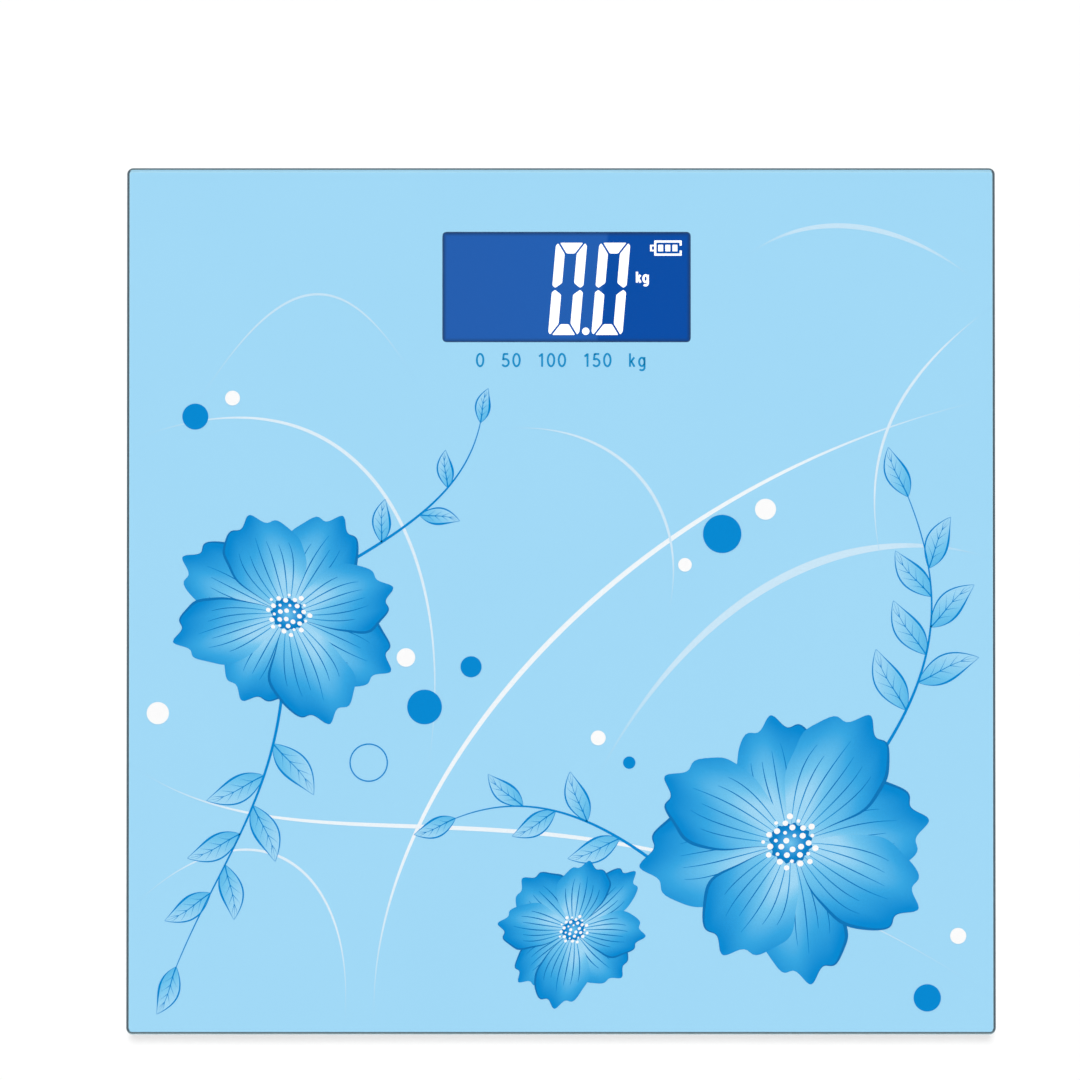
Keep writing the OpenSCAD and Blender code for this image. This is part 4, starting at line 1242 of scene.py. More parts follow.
@dataclass
class Blossom:
    """Open eight-petalled field flower seen a little from one side. Sizes in millimetres."""

    centre: Pair
    radius: float
    turn: float
    tilt: float
    petals: int = 8
    anthers: int = 32

    def placed(self, patch: Patch, angle: float = 0.0) -> Patch:
        """Turns a patch about the flower's heart, foreshortens it and moves it into place.

        Formula: rotation by the angle, then the share tilt of the height, then rotation by turn.

        Args:
            patch: flat patch in millimetres round the origin.
            angle: direction of the petal in degrees.

        Returns:
            Patch in metres.
        """
        points = turned(turned(patch.points, angle) * np.array([1.0, self.tilt]), self.turn)
        return Patch((points + np.array(self.centre)) * MM, patch.faces, patch.tint)

    def petal(self, index: int) -> Petal:
        """One petal, a little longer or shorter than the next.

        Args:
            index: its number.

        Returns:
            The petal, along +x.
        """
        length = self.radius * (1 + 0.07 * math.sin(2.3 * index + self.turn))
        width = 0.345 * self.radius * (1 + 0.09 * math.sin(1.7 * index + 0.6 * self.turn))
        return Petal(length, width, 1.0 if index % 3 else -1.0, 1.3 * index + self.turn)

    def ring(self, first_tier: int, tiers: PrintTiers) -> list[Patch]:
        """Petals and their lines, every second petal lying over its neighbours.

        Args:
            first_tier: tier of the lower petals.
            tiers: heights of the inks.

        Returns:
            Patches at their heights.
        """
        patches = []
        for upper in (0, 1):
            blades, strokes = [], []
            for index in range(upper, self.petals, 2):
                angle = 360 / self.petals * index + 5 * math.sin(3.1 * index + self.turn)
                petal = self.petal(index)
                blades.append(self.placed(petal.blade(), angle))
                strokes += [self.placed(line, angle) for line in petal.lines()]
            patches += tiers.layered(blades, first_tier + 2 * upper)
            patches += tiers.layered(strokes, first_tier + 2 * upper + 1)
        return patches

    def heart(self, first_tier: int, tiers: PrintTiers) -> list[Patch]:
        """Eye of the flower: a scalloped disc under anthers set in a spiral.

        Formula: anther n lies at the radius c sqrt(n) and at n times the golden angle.

        Args:
            first_tier: tier of the disc.
            tiers: heights of the inks.

        Returns:
            Patches at their heights.
        """
        t = np.linspace(0, 2 * np.pi, 96, endpoint=False)
        reach = 0.15 * self.radius * (1 + 0.06 * np.cos(16 * t))
        eye = fan(np.stack([reach * np.cos(t), reach * np.sin(t)], axis=1), np.zeros(2), 4)
        share = np.linalg.norm(eye.points, axis=1) / (0.16 * self.radius)
        eye.tint = wash(share, (Ink.SKY, Ink.DEEP, Ink.NIGHT), (0, 0.6, 1))
        anthers = []
        for n in range(1, self.anthers + 1):
            away = 0.036 * self.radius * math.sqrt(n)
            angle = math.radians(GOLDEN_ANGLE * n)
            spot = (away * math.cos(angle), away * math.sin(angle))
            size = 0.021 * self.radius * (0.65 + 0.5 * math.sin(2.1 * n) ** 2)
            anthers.append(self.placed(disc(spot, size, 20).inked(Ink.WHITE)))
        return (tiers.layered([self.placed(eye)], first_tier)
                + tiers.layered(anthers, first_tier + 1))


@dataclass
class Leaf:
    """Pointed leaf from a spot in a direction. Sizes in millimetres."""

    spot: Pair
    angle: float
    length: float
    width: float
    heart: float = 0.45

    def placed(self, along: np.ndarray, across: np.ndarray) -> np.ndarray:
        """Turns points from the leaf's own axes and moves them to its spot, in metres."""
        points = np.stack([along, across], axis=1)
        return (turned(points, self.angle) + np.array(self.spot)) * MM

    def half(self, along: np.ndarray) -> np.ndarray:
        """Half width: width times sin(pi a)^0.85 (1 - 0.35 a) at the share a of the length."""
        return self.width * np.abs(np.sin(np.pi * along)) ** 0.85 * (1 - 0.35 * along)

    def spine(self, along: np.ndarray | float) -> np.ndarray | float:
        """Sideways sway of the midrib: 0.09 of the length times a sin(pi a) at the share a."""
        return 0.09 * self.length * np.sin(np.pi * along) * along

    def blade(self) -> Patch:
        """Leaf's face, deeper at its foot and along one side.

        Formula: a fan inside a round trip with the half width on each side of the midrib, and
        with its heart on the midrib.

        Returns:
            The face in metres.
        """
        _, along, side = round_trip(72)
        across = side * self.half(along) + self.spine(along)
        middle = np.array([self.heart * self.length, self.spine(self.heart)])
        face = fan(np.stack([self.length * along, across], axis=1), middle, 6)
        share = np.clip(face.points[:, 0] / self.length, 0, 1)
        side = np.clip((face.points[:, 1] - self.spine(share)) / self.width, -1, 1)
        tint = wash(np.clip(share + 0.3 * side, 0, 1), (Ink.MID, Ink.SKY, Ink.FACE),
                    (-0.3, 0.25, 0.8))
        return Patch(self.placed(*face.points.T), face.faces, tint)

    def lines(self) -> list[Patch]:
        """Outline, midrib and side veins as tapering strokes.

        Returns:
            The strokes in metres.
        """
        s = np.linspace(0.001, 0.999, 48)
        taper = np.sin(np.pi * s)
        rails = [
            (self.half(s) + self.spine(s), 0.05 + 0.2 * taper),
            (-self.half(s) + self.spine(s), 0.05 + 0.3 * taper**2),
            (self.spine(s), 0.22 * (1.05 - s)),
        ]
        strokes = [ribbon(self.placed(self.length * s, rail), weight * MM)
                   for rail, weight in rails]
        v = np.linspace(0, 1, 14)
        for start in np.linspace(0.18, 0.72, 4):
            for side in (-1, 1):
                along = start + 0.2 * v
                across = self.spine(along) + side * 0.78 * self.half(along) * v**1.3
                path = self.placed(self.length * along, across)
                strokes.append(ribbon(path, 0.11 * MM * (1.05 - v)))
        return [stroke.inked(Ink.DEEP) for stroke in strokes]


@dataclass
class Spray:
    """Curved stem with leaves set in turn on either side. Sizes in millimetres."""

    controls: list[Pair]
    leaves: int
    size: float
    steps: int = 90

    def leaf(self, index: int, path: np.ndarray, ahead: np.ndarray) -> Leaf:
        """One leaf, shorter and closer to the stem the further along it stands.

        Args:
            index: its number from the foot.
            path: points of the stem.
            ahead: direction of the stem at each point in degrees.

        Returns:
            The leaf; the last stands straight on the stem's tip.
        """
        last = index == self.leaves - 1
        at = self.steps - 1 if last else int(14 + 72 * index / self.leaves)
        side = 0 if last else (-1 if index % 2 else 1)
        length = self.size * (1.0 - 0.25 * index / self.leaves)
        return Leaf(tuple(path[at]), ahead[at] + side * (52 - 4 * index), length, 0.24 * length)

    def patches(self, first_tier: int, tiers: PrintTiers) -> list[Patch]:
        """Stem, leaves and their lines at their heights.

        Args:
            first_tier: tier of the leaf faces.
            tiers: heights of the inks.

        Returns:
            The patches.
        """
        path = bezier(self.controls, self.steps)
        taper = 0.5 - 0.36 * np.linspace(0, 1, self.steps)
        stem = ribbon(path * MM, taper * MM).inked(Ink.DEEP)
        ahead = np.degrees(np.arctan2(*np.gradient(path, axis=0).T[::-1]))
        leaves = [self.leaf(index, path, ahead) for index in range(self.leaves)]
        strokes = [line for leaf in leaves for line in leaf.lines()]
        return (tiers.layered([leaf.blade() for leaf in leaves], first_tier)
                + tiers.layered([*strokes, stem], first_tier + 1))


@dataclass
class Sweep:
    """Long white stroke that swells and fades. Sizes in millimetres."""

    controls: list[Pair]
    width: float
    strength: float
    peak: float
    tier: int
    steps: int = 140

    def patch(self, limit: float, tiers: PrintTiers) -> Patch:
        """Stroke at its height.

        Formula: half width and whiteness follow a bump that rises to 1 at the peak share of the
        length and falls to 0 at both ends; points past the sheet's edge are held on the edge.

        Args:
            limit: half side of the sheet in millimetres.
            tiers: heights of the inks.

        Returns:
            The stroke in metres.
        """
        s = np.linspace(0, 1, self.steps)
        rise = np.where(s < self.peak, s / self.peak, (1 - s) / (1 - self.peak))
        bump = np.sin(0.5 * np.pi * rise)
        stroke = ribbon(bezier(self.controls, self.steps), 0.03 + 0.5 * self.width * bump**1.2)
        stroke.points = np.clip(stroke.points, -limit, limit) * MM
        white = np.repeat(self.strength * np.clip(1.5 * bump, 0, 1), 3)
        stroke.tint = wash(white, (Ink.FACE, Ink.WHITE), (0, 1))
        return stroke.raised(tiers.height(self.tier))


@dataclass
class Glyph:
    """Plain upright figure or letter drawn with one pen, on a height of 1."""

    strokes: list[np.ndarray]
    width: float


def pen_strokes(mark: str) -> Glyph:
    """Pen strokes of one plain figure or letter, made of straight lines and arcs of ellipses.

    Args:
        mark: the figure or letter, or a space.

    Returns:
        Its strokes, on a capital height of 1, and its width.
    """
    def line(*points: Pair) -> np.ndarray:
        """Straight runs through points, with extra points so that corners stay tight.

        Args:
            *points: ends and corners of the run.

        Returns:
            Points along the run.
        """
        at = np.array(points, float)
        steps = np.linspace(0, 1, 12)[:, None]
        return np.vstack([a + (b - a) * steps for a, b in zip(at[:-1], at[1:])])

    if mark == "0":
        return Glyph([arc((0.29, 0.5), (0.24, 0.46), FULL_TURN, 49)], 0.58)
    if mark == "1":
        return Glyph([line((0.08, 0.76), (0.27, 0.93)), line((0.3, 1.0), (0.3, 0.0))], 0.44)
    if mark == "5":
        bowl = arc((0.27, 0.31), (0.25, 0.27), (128, -150), 34)
        return Glyph([line((0.49, 0.95), (0.15, 0.95)), line((0.16, 0.98), (0.1, 0.5)), bowl], 0.58)
    if mark == "k":
        legs = [line((0.4, 0.7), (0.09, 0.3)), line((0.17, 0.42), (0.42, 0.0))]
        return Glyph([line((0.08, 1.0), (0.08, 0.0)), *legs], 0.46)
    if mark == "g":
        bowl = arc((0.27, 0.36), (0.2, 0.31), FULL_TURN, 37)
        hook = arc((0.27, -0.06), (0.2, 0.2), (0, -140), 20)
        return Glyph([bowl, line((0.47, 0.72), (0.47, -0.06)), hook], 0.56)
    return Glyph([], 0.85)


@dataclass
class Lettering:
    """Row of plain figures and letters, centred on a spot. Sizes in millimetres."""

    text: str
    spot: Pair
    height: float
    pen: float
    gap: float
    ink: Ink = Ink.MARK

    def strokes(self) -> list[Patch]:
        """Draws the row.

        Returns:
            Its strokes in metres.
        """
        glyphs = [pen_strokes(mark) for mark in self.text]
        spaces = [self.height * glyph.width + self.gap for glyph in glyphs]
        left = self.spot[0] - (sum(spaces) - self.gap) / 2
        starts = left + np.cumsum([0.0] + spaces[:-1])
        made = []
        for glyph, start in zip(glyphs, starts):
            for path in glyph.strokes:
                at = np.array([start, self.spot[1]]) + path * self.height
                made.append(ribbon(at * MM, np.full(len(at), 0.5 * self.pen * MM)).inked(self.ink))
        return made


# ---- Printed sheet ----


@dataclass
class PlatformPrint:
    """Printed sheet under the glass, with its window, motifs, strokes, dots and figures."""

    window_round: float = 1.6 * MM
    sheet_round: float = 1.2 * MM
    sheet_thickness: float = 0.07 * MM
    motif_margin: float = 0.15 * MM
    leaf_tier: int = 3
    figure_tier: int = 4
    blossom_tier: int = 5
    heart_tier: int = 9

    def sheet(self, tiers: PrintTiers) -> None:
        """Flat sheet with a window, closed all round.

        Formula: a ruled surface whose rows run from the outer outline to the window's outline,
        on top and back below, so that the rows close on themselves.

        Args:
            tiers: heights of the inks.
        """
        low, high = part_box("print_film")
        outer = centred_box(high.x - low.x, high.y - low.y, self.sheet_round)
        near, far = window_corners()
        window = centred_box(*(far - near), self.window_round) + (near + far) / 2
        loops = [lifted(outer, low.z), lifted(outer, tiers.face), lifted(window, tiers.face),
                 lifted(window, low.z)]
        finish = PrintedSheet("printed_sheet", low.z + 0.5 * self.sheet_thickness)
        piece = make_piece("print_sheet", stacked(loops, ring=True), finish.material(), "platform")
        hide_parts("print_film")

    def build(self) -> None:
        """Makes the sheet and all its inks."""
        low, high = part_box("print_film")
        tiers = PrintTiers(low.z + self.sheet_thickness)
        limit = ((high.x - low.x) / 2 - self.motif_margin) / MM
        self.sheet(tiers)
        ink = PrintInk("motif_ink").material()
        sprays, blossoms = self.sprays(), self.blossoms()
        groups = {
            "print_sweeps": [sweep.patch(limit, tiers) for sweep in self.sweeps()],
            "print_leaves": [p for s in sprays for p in s.patches(self.leaf_tier, tiers)],
            "print_blossoms": [p for b in blossoms for p in b.ring(self.blossom_tier, tiers)],
            "print_hearts": [p for b in blossoms for p in b.heart(self.heart_tier, tiers)],
            "print_dots": [dot.raised(tiers.height(self.heart_tier)) for dot in self.dots()],
            "print_figures": tiers.layered(self.figures().strokes(), self.figure_tier),
        }
        for name, patches in groups.items():
            make_piece(name, joined(patches), ink, "platform", tiers.thickness)

    def blossoms(self) -> list[Blossom]:
        """Places the flowers.

        Returns:
            The flowers at the lower right, the lower middle and the left.
        """
        return [
            Blossom((74, -78), 45, 12, 0.94),
            Blossom((4, -106), 25, 40, 0.86),
            Blossom((-88, -4), 37, -28, 0.88),
        ]

    def sprays(self) -> list[Spray]:
        """Places the leaf sprays.

        Returns:
            The sprays at the right, the lower middle, the lower left and the upper left.
        """
        return [
            Spray([(104, -48), (122, -20), (124, 4), (112, 34)], 7, 22),
            Spray([(30, -84), (6, -66), (-14, -62), (-34, -70)], 5, 18),
            Spray([(-90, -30), (-94, -66), (-111, -86), (-124, -118)], 7, 21),
            Spray([(-70, 12), (-42, 28), (-30, 40), (-26, 58)], 4, 14),
        ]

    def sweeps(self) -> list[Sweep]:
        """Places the long white strokes, on three tiers because they cross.

        Returns:
            The strokes.
        """
        edge = 139.5
        return [
            Sweep([(-60, -edge), (-66, -60), (20, 40), (edge, 66)], 1.6, 0.85, 0.55, 0),
            Sweep([(-edge, 52), (-60, 84), (-30, 10), (-44, -60)], 1.1, 0.6, 0.4, 1),
            Sweep([(-edge, -52), (-80, -96), (10, -40), (edge, -128)], 1.3, 0.8, 0.5, 2),
            Sweep([(edge, 14), (90, 30), (40, 0), (10, -60)], 2.6, 0.4, 0.45, 1),
            Sweep([(-120, 60), (-90, 110), (-70, 112), (-46, 70)], 0.7, 0.35, 0.5, 2),
            Sweep([(60, 112), (80, 128), (110, 124), (134, 104)], 1.6, 0.35, 0.5, 0),
            Sweep([(-20, 56), (20, 60), (44, 30), (34, -6)], 1.0, 0.45, 0.5, 2),
            Sweep([(-edge, -100), (-100, -60), (-64, -84), (-70, -edge)], 0.8, 0.6, 0.5, 1),
            Sweep([(edge, 96), (104, 70), (96, 44), (104, 10)], 0.9, 0.55, 0.4, 2),
        ]

    def dots(self) -> list[Patch]:
        """Places the dots, by x, y and radius in millimetres.

        Returns:
            Round dots in two inks, and one ring.
        """
        groups = {
            Ink.DEEP: [(-44, -34, 5.6), (-29, -21, 3.4), (118, -128, 4.4), (52, 22, 6.2),
                       (22, -52, 2.0), (-118, 60, 4.2)],
            Ink.WHITE: [(-50, -18, 3.0), (66, 30, 3.4), (40, 12, 2.2), (-130, -36, 3.6),
                        (-106, 66, 2.4), (12, -44, 2.4), (128, -108, 2.6)],
        }
        patches = [disc((x * MM, y * MM), r * MM).inked(ink)
                   for ink, dots in groups.items() for x, y, r in dots]
        circle = arc((-62 * MM, -52 * MM), (6 * MM, 6 * MM), FULL_TURN, 91)
        return patches + [ribbon(circle, np.full(len(circle), 0.2 * MM)).inked(Ink.DEEP)]

    def figures(self) -> Lettering:
        """Plain weights under the window."""
        return Lettering("0 50 100 150 kg", (0, 76.15), height=4.35, pen=0.62, gap=1.0)


# ---- Display ----


@dataclass
class Display:
    """Lit panel with its figures, in millimetres from the lower left corner of the window. The
    heights of the ink are in metres.
    """

    digit_width: float = 10.05
    digit_height: float = 29.9
    digit_lefts: Pair = (35.42, 49.38)
    digit_foot: float = 2.4
    upright: float = 3.1
    level: float = 3.5
    lean: float = 0.0875
    soft: float = 0.45
    point: Pair = (46.3, 3.6)
    point_radius: float = 1.2
    unit_spot: Pair = (64.6, 19.4)
    unit_height: float = 3.5
    unit_pen: float = 0.75
    unit_gap: float = 0.5
    charge_spot: Pair = (66.9, 28.1)
    charge_size: Pair = (8.9, 4.95)
    charge_pen: float = 0.7
    charge_round: float = 0.15
    # Where the edge of the panel's painted sheen passes, and how it leans.
    sheen_edge: Pair = (51.7, 17.6)
    sheen_lean: float = 0.1
    ink_pitch: float = 0.02 * MM
    ink_thickness: float = 0.008 * MM

    def __post_init__(self) -> None:
        """Finds the window."""
        self.near, self.far = window_corners()

    def spot(self, at: Pair) -> np.ndarray:
        """Place in metres of a spot, or of rows of spots, in the window."""
        return self.near + np.array(at) * MM

    def lit(self, outline: np.ndarray) -> Patch:
        """Lit patch in metres inside an outline in the window."""
        placed = self.spot(outline)
        return fan(placed, placed.mean(0), 2)

    def segment(self, corners: list[Pair], left: float, across: int, along: int) -> Patch:
        """One lit segment.

        Formula: the corners are mirrored in the digit's middle lines where asked, rounded, then
        sheared sideways by the lean times the height above the digit's middle.

        Args:
            corners: corners of the top left segment of its kind.
            left: left side of the digit.
            across, along: 1, or -1 to mirror left to right, or top to bottom.

        Returns:
            The segment in metres.
        """
        middle = np.array([self.digit_width / 2, self.digit_height / 2])
        at = (rounded(corners, self.soft) - middle) * np.array([across, along])
        at[:, 0] += self.lean * at[:, 1]
        return self.lit(at + (middle + np.array([left, self.digit_foot])))

    def digit(self, left: float) -> list[Patch]:
        """The figure 0 of seven segments, with the middle one dark.

        Args:
            left: left side of the digit.

        Returns:
            Its six lit segments in metres.
        """
        w, h, middle = self.digit_width, self.digit_height, self.digit_height / 2
        bar = [(1.3, h), (w - 1.3, h), (w - 3.7, h - self.level), (3.7, h - self.level)]
        post = [(0, h - 1.0), (0.66, h - 0.12), (self.upright, h - self.level - 0.15),
                (self.upright, middle + 1.9), (1.0, middle + 0.3), (0, middle + 1.1)]
        bars = [self.segment(bar, left, 1, along) for along in (1, -1)]
        posts = [self.segment(post, left, across, along) for across in (1, -1) for along in (1, -1)]
        return bars + posts

    def bar(self, x: float, y: float, width: float, height: float) -> Patch:
        """Small lit rectangle with soft corners, from its lower left corner."""
        corners = [(x, y), (x + width, y), (x + width, y + height), (x, y + height)]
        return self.lit(rounded(corners, self.charge_round, 4))

    def charge(self) -> list[Patch]:
        """Charge sign: a shell with its cap on the left, open on the right, and three bars.

        Returns:
            Its lit bars in metres.
        """
        (x, y), (width, height), pen = self.charge_spot, self.charge_size, self.charge_pen
        left, top = x + 1.5, y + height
        right = left + width - pen
        shell = [
            (left, y, width, pen),
            (left, top - pen, width, pen),
            (left, y + pen, pen, height - 2 * pen),
            (right, y + pen, pen, 1.0),
            (right, top - pen - 1.0, pen, 1.0),
            (x + 0.15, y + 1.4, 0.6, height - 2.8),
            (x + 0.75, y + 1.4, 0.75, 0.55),
            (x + 0.75, top - 1.95, 0.75, 0.55),
        ]
        cells = [(x + 2.8 + 2.3 * n, y + 1.4, 1.6, height - 2.8) for n in range(3)]
        return [self.bar(*place) for place in shell + cells]

    def build(self) -> None:
        """Dresses the panel and makes its figures."""
        sheen_edge = tuple(self.spot(self.sheen_edge))
        dress(("front_polariser",), LitPanel("lit_panel", sheen_edge, self.sheen_lean, tuple(self.near),
                                             tuple(self.far)))
        unit = Lettering("kg", tuple(self.spot(self.unit_spot) / MM), self.unit_height,
                         self.unit_pen, self.unit_gap, Ink.WHITE)
        point = disc(tuple(self.spot(self.point)), self.point_radius * MM, 32)
        groups = {
            "display_digits": [p for left in self.digit_lefts for p in self.digit(left)] + [point],
            "display_unit": unit.strokes(),
            "display_charge": self.charge(),
        }
        lit = LitFigure("lit_figures").material()
        tiers = PrintTiers(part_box("front_polariser")[1].z, self.ink_pitch)
        for name, patches in groups.items():
            flat = joined(tiers.layered(patches, 0))
            make_piece(name, flat, lit, "platform", self.ink_thickness)


# ---- Fittings underneath ----


@dataclass
class Platform:
    """Glass plate and the tapes, ducts and film fittings on it."""

    corner: float = 2.0 * MM
    bevel: float = 0.6 * MM

    def build(self) -> None:
        """Dresses the plate and what is stuck to it."""
        low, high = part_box("glass_platform")
        dress_all({
            ("glass_platform",): FloatGlass("clear_glass", (high.x - low.x) / 2, self.corner,
                                            self.bevel, high.z),
            ("display_gasket",): MouldedRubber("gasket_rubber", linear(36, 72, 118),
                                               linear(60, 100, 146), 0.6),
            ("housing_tape", "base_tapes"): ClosedFoam("foam_tape", linear(44, 46, 48)),
            ("side_duct_left", "side_duct_right", "back_duct_left", "back_duct_right"):
                MouldedPlastic("duct_plastic", linear(222, 225, 226), 0.4),
        })


@dataclass
class Housing:
    """Housing under the display with its board, display cell, batteries and cover.

    The two battery wires lie a pitch apart. The first turns at a distance from its tab, and its
    last straight runs a little inside the back of the back battery.
    """

    arrow_length: float = 4.2 * MM
    arrow_width: float = 6.4 * MM
    arrow_rise: float = 0.4 * MM
    arrow_round: float = 0.6 * MM
    arrow_aside: float = 17.0 * MM
    lead_pitch: float = 1.8 * MM
    lead_turn: float = 3.4 * MM
    lead_inset: float = 0.8 * MM

    def arrow(self, material: bpy.types.Material) -> None:
        """Raised mark on the cover that points the way it slides.

        Formula: a triangle with round corners that narrows to 0.92 of its size at 0.8 of its rise
        and to 0.82 at its face, with its root a quarter of the rise inside the cover.

        Args:
            material: finish of the cover.
        """
        back, side = self.arrow_length / 2, self.arrow_width / 2
        outline = rounded([(0.0, -back), (side, back), (-side, back)], self.arrow_round)
        centre = middle_of("battery_cover") + np.array([self.arrow_aside, 0.0])
        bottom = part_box("battery_cover")[0].z
        loops = [lifted(centre + share * outline, bottom - rise * self.arrow_rise)
                 for share, rise in ((0.82, 1.0), (0.92, 0.8), (1.0, -0.25))]
        make_piece("cover_arrow", stacked(loops), material, "battery_cover")

    def dress_display(self) -> None:
        """Finishes of the display's layers."""
        dress_all({
            ("lcd_front_glass", "lcd_rear_glass"): ClearPlastic("cell_glass", linear(120, 140, 150),
                                                                0.08, 0.1),
            ("rear_polariser",): ClearPlastic("rear_film", linear(92, 98, 104), 0.25, 0.0),
            ("light_guide",): ClearPlastic("guide_acrylic", linear(214, 226, 240), 0.12),
            ("reflector",): MouldedPlastic("white_film", linear(240, 242, 244), 0.3),
            ("backlight_leds",): ClearPlastic("lamp_resin", linear(240, 228, 150), 0.25),
            ("zebra_strips",): MouldedRubber("contact_rubber", linear(52, 50, 52),
                                             linear(176, 150, 140), 0.6),
            ("lcd_holder",): MouldedPlastic("holder_plastic", linear(236, 236, 232)),
        })

    def battery_leads(self) -> BatteryLeads:
        """Coats of the two battery wires, with the places between them at their turns.

        Returns:
            Their finish.
        """
        low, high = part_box("battery_wires")
        cell_low, cell_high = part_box("battery_back")
        half = self.lead_pitch / 2
        first = (high.x - self.lead_turn - half, cell_low.y)
        last = (low.x + WIRE_RADIUS + half, cell_high.y - self.lead_inset - half)
        coats = (linear(34, 34, 36), linear(186, 40, 34))
        return BatteryLeads("battery_leads", coats, first=first, last=last)

    def dress_electrics(self) -> None:
        """Finishes of the board, batteries and contacts."""
        dress_all({
            ("circuit_board", "led_board"): SolderMask("solder_mask"),
            ("chip_cover", "board_parts", "unit_switch"):
                MouldedPlastic("black_resin", linear(26, 26, 28), 0.35, cloud=0.2),
            ("switch_plunger",): MouldedPlastic("plunger_plastic", linear(60, 60, 62)),
            ("plus_contact", "minus_contact", "bridge_contact", "battery_springs"):
                RolledMetal("nickel_steel", linear(200, 198, 192), 0.26),
            ("battery_wires",): self.battery_leads(),
        })
        for name, head_low in (("battery_front", False), ("battery_back", True)):
            low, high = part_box(name)
            dress((name,), CellSleeve("sleeve_" + name, low.x, high.x, head_low))

    def build(self) -> None:
        """Dresses the housing and what it holds."""
        self.dress_display()
        self.dress_electrics()
        dress_all({
            ("housing_shell", "housing_frame"):
                MouldedPlastic("housing_plastic", linear(228, 230, 231), 0.45, cloud=0.03),
            ("unit_button",): MouldedPlastic("button_plastic", linear(196, 200, 204), 0.35),
            ("housing_screws", "board_screws"):
                RolledMetal("zinc_screw", linear(196, 200, 204), 0.28, (900.0, 900.0, 2600.0)),
        })
        cover = MouldedPlastic("cover_plastic", linear(224, 226, 228), 0.4, cloud=0.03)
        self.arrow(dress(("battery_cover",), cover))


@dataclass
class Feet:
    """The four load-cell feet. The first wire of a back foot turns at a distance from its gauge."""

    corners: tuple[str, ...] = ("front_left", "front_right", "back_left", "back_right")
    lead_turn: float = 1.8 * MM

    def leads(self) -> dict[tuple[str, ...], Finish]:
        """Coats of the front and the back wires, which follow two kinds of run.

        Returns:
            The finish of each pair of wire bundles, left and right.
        """
        foot = tuple(middle_of("pad_back_right"))
        low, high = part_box("wires_back_right")
        start = high.y - WIRE_RADIUS - 2 * WireCoats.pitch
        back = BackLeads("back_leads", start=start, turn=high.x - self.lead_turn,
                         run=low.y + WIRE_RADIUS)
        return {
            ("wires_front_left", "wires_front_right"): FrontLeads("front_leads", foot=foot),
            ("wires_back_left", "wires_back_right"): back,
        }

    def build(self) -> None:
        """Dresses bases, cells, foot discs, pads and wires."""
        groups = {
            "base": MouldedPlastic("base_plastic", linear(232, 234, 235), 0.45),
            "foot": MouldedPlastic("foot_plastic", linear(214, 217, 220), 0.42),
            "cell": RolledMetal("cell_steel", linear(176, 176, 174), 0.32),
            "pad": MouldedRubber("pad_rubber", linear(58, 62, 66), linear(104, 106, 106)),
        }
        for prefix, finish in groups.items():
            dress(tuple(f"{prefix}_{corner}" for corner in self.corners), finish)
        dress_all(self.leads())
        dress(("gauge_covers",), ClearPlastic("silicone", linear(232, 232, 226), 0.3))


# ---- Studio ----


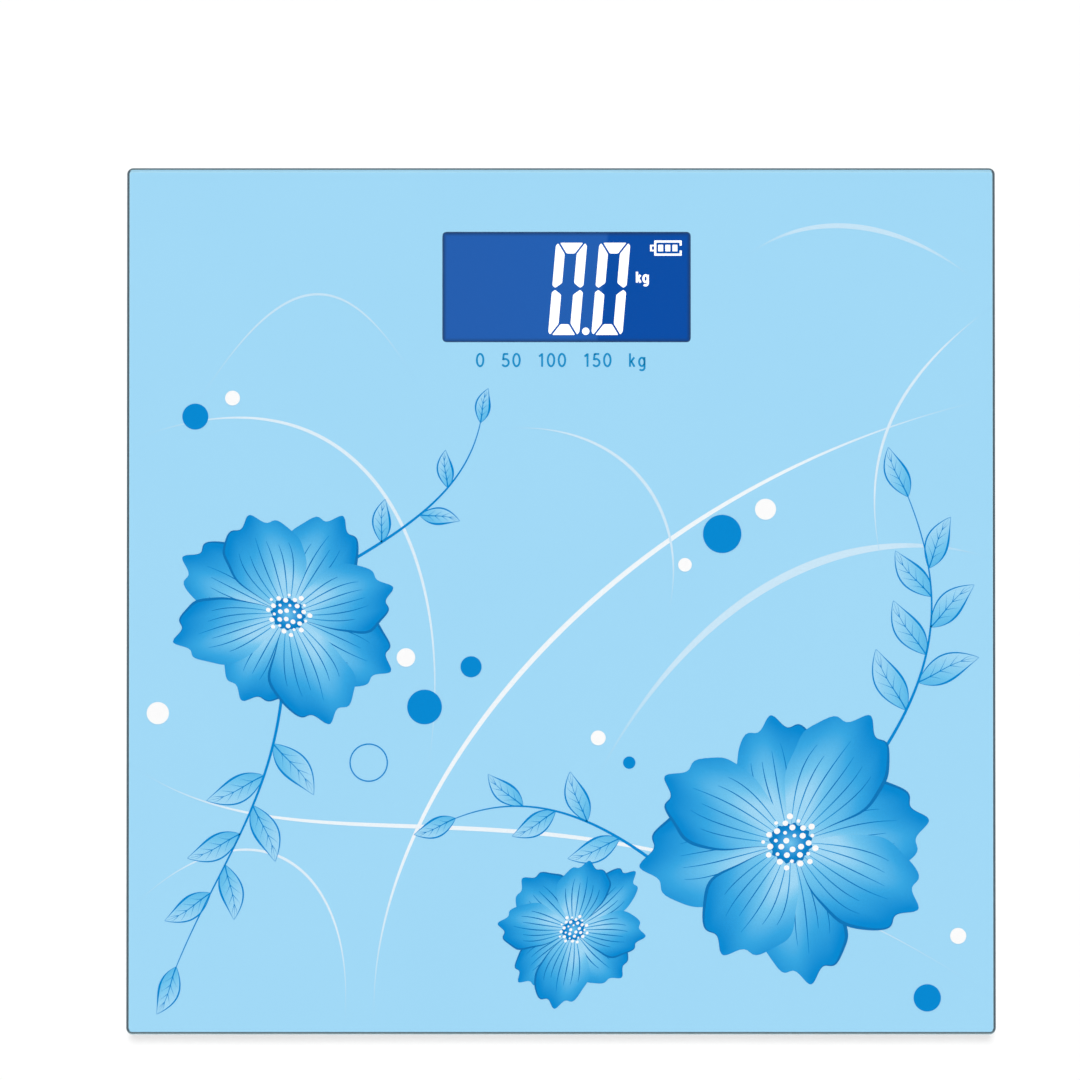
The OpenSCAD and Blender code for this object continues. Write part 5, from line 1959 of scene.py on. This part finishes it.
@dataclass
class Studio:
    """Floor, lights and camera. The sky that mirrors see changes between two heights from its
    first brightness to its second.
    """

    lens: float = 1000.0
    sensor: float = 36.0
    clip: Pair = (0.05, 40.0)
    frame_width: float = 348.2 * MM
    aim: Triple = (-6.77 * MM, 19.52 * MM, 23.5 * MM)
    tilt: float = 4.8
    sky: float = 0.52
    sky_turn: Pair = (0.8, 0.97)
    sky_mirrored: Pair = (0.9, 0.02)
    sun: float = 1.66
    sun_tilt: float = 6.0
    sun_spread: float = 11.0
    sun_place: Triple = (0.0, 0.5, 2.0)
    floor_half: float = 6.0
    floor_gap: float = 0.05 * MM
    floor_seen: float = 0.49
    floor_glow: float = 0.5

    def floor(self) -> None:
        """Pale floor, a hair under the pads, white away from the part and with its shadow. It is
        clear from below.
        """
        side = self.floor_half
        outline = np.array([(-side, -side), (side, -side), (side, side), (-side, side)])
        mesh = bpy.data.meshes.new("floor")
        mesh.from_pydata(lifted(outline, -self.floor_gap).tolist(), [], [(0, 1, 2, 3)])
        floor = bpy.data.objects.new("floor", mesh)
        bpy.context.scene.collection.objects.link(floor)
        web = Web("floor_white")
        path = web.add("ShaderNodeLightPath").outputs
        glow = web.span(path["Is Diffuse Ray"], 0.0, 1.0, self.floor_seen, self.floor_glow)
        web.surface(Base_Color=(0.5, 0.5, 0.5, 1), Roughness=0.9, Specular_IOR_Level=0.0,
                    Emission_Color=(1, 1, 1, 1), Emission_Strength=glow)
        below = web.add("ShaderNodeNewGeometry").outputs["Backfacing"]
        clear = web.add("ShaderNodeBsdfTransparent").outputs[0]
        web.show(web.layered(below, web.shader.outputs[0], clear))
        mesh.materials.append(web.material)

    def world(self) -> None:
        """Even grey light; white to the camera; to mirrors, white low down and dark overhead."""
        world = bpy.data.worlds.new("studio")
        world.use_nodes = True
        bpy.context.scene.world = world
        web = Nodes(world.node_tree)
        path = web.add("ShaderNodeLightPath").outputs
        height = web.axis(web.add("ShaderNodeTexCoord").outputs["Generated"], 2)
        mirrored = web.span(height, *self.sky_turn, *self.sky_mirrored)
        light = web.level(path["Is Glossy Ray"], self.sky, mirrored)
        seen = web.math("MAXIMUM", path["Is Camera Ray"], path["Is Transmission Ray"])
        back = web.tree.nodes["Background"]
        web.feed(back, "Color", (1.0, 1.0, 1.0, 1.0))
        web.feed(back, "Strength", web.level(seen, light, 1.0))

    def lamp(self) -> None:
        """Broad soft lamp from behind the plate, a little off straight down."""
        light = bpy.data.lights.new("key", "SUN")
        light.energy = self.sun
        light.angle = math.radians(self.sun_spread)
        lamp = bpy.data.objects.new("key", light)
        lamp.rotation_euler = (math.radians(-self.sun_tilt), 0, 0)
        lamp.location = self.sun_place
        lamp.visible_glossy = False
        bpy.context.scene.collection.objects.link(lamp)

    def camera(self) -> None:
        """Long lens nearly straight above, a little towards the front edge."""
        camera = bpy.data.cameras.new("camera")
        camera.lens = self.lens
        camera.sensor_width = self.sensor
        camera.clip_start, camera.clip_end = self.clip
        away = self.frame_width * self.lens / self.sensor
        lean = math.radians(self.tilt)
        eye = bpy.data.objects.new("camera", camera)
        x, y, z = self.aim
        eye.location = (x, y - away * math.sin(lean), z + away * math.cos(lean))
        eye.rotation_euler = (lean, 0, 0)
        bpy.context.scene.collection.objects.link(eye)
        bpy.context.scene.camera = eye

    def build(self) -> None:
        """Sets up the view and everything round the part."""
        bpy.context.scene.view_settings.view_transform = "Standard"
        self.camera()
        self.floor()
        self.world()
        self.lamp()


def corners(bounds: object) -> list[list[float]]:
    """Lowest and highest corner as plain lists."""
    return [[float(v) for v in corner] for corner in bounds]


def main() -> None:
    """Builds the studio and each sub-assembly."""
    logging.basicConfig(level=logging.INFO, format="%(name)s: %(message)s")
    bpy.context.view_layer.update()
    for part in (Studio(), Platform(), PlatformPrint(), Display(), Housing(), Feet()):
        part.build()


if __name__ == "__main__":
    main()
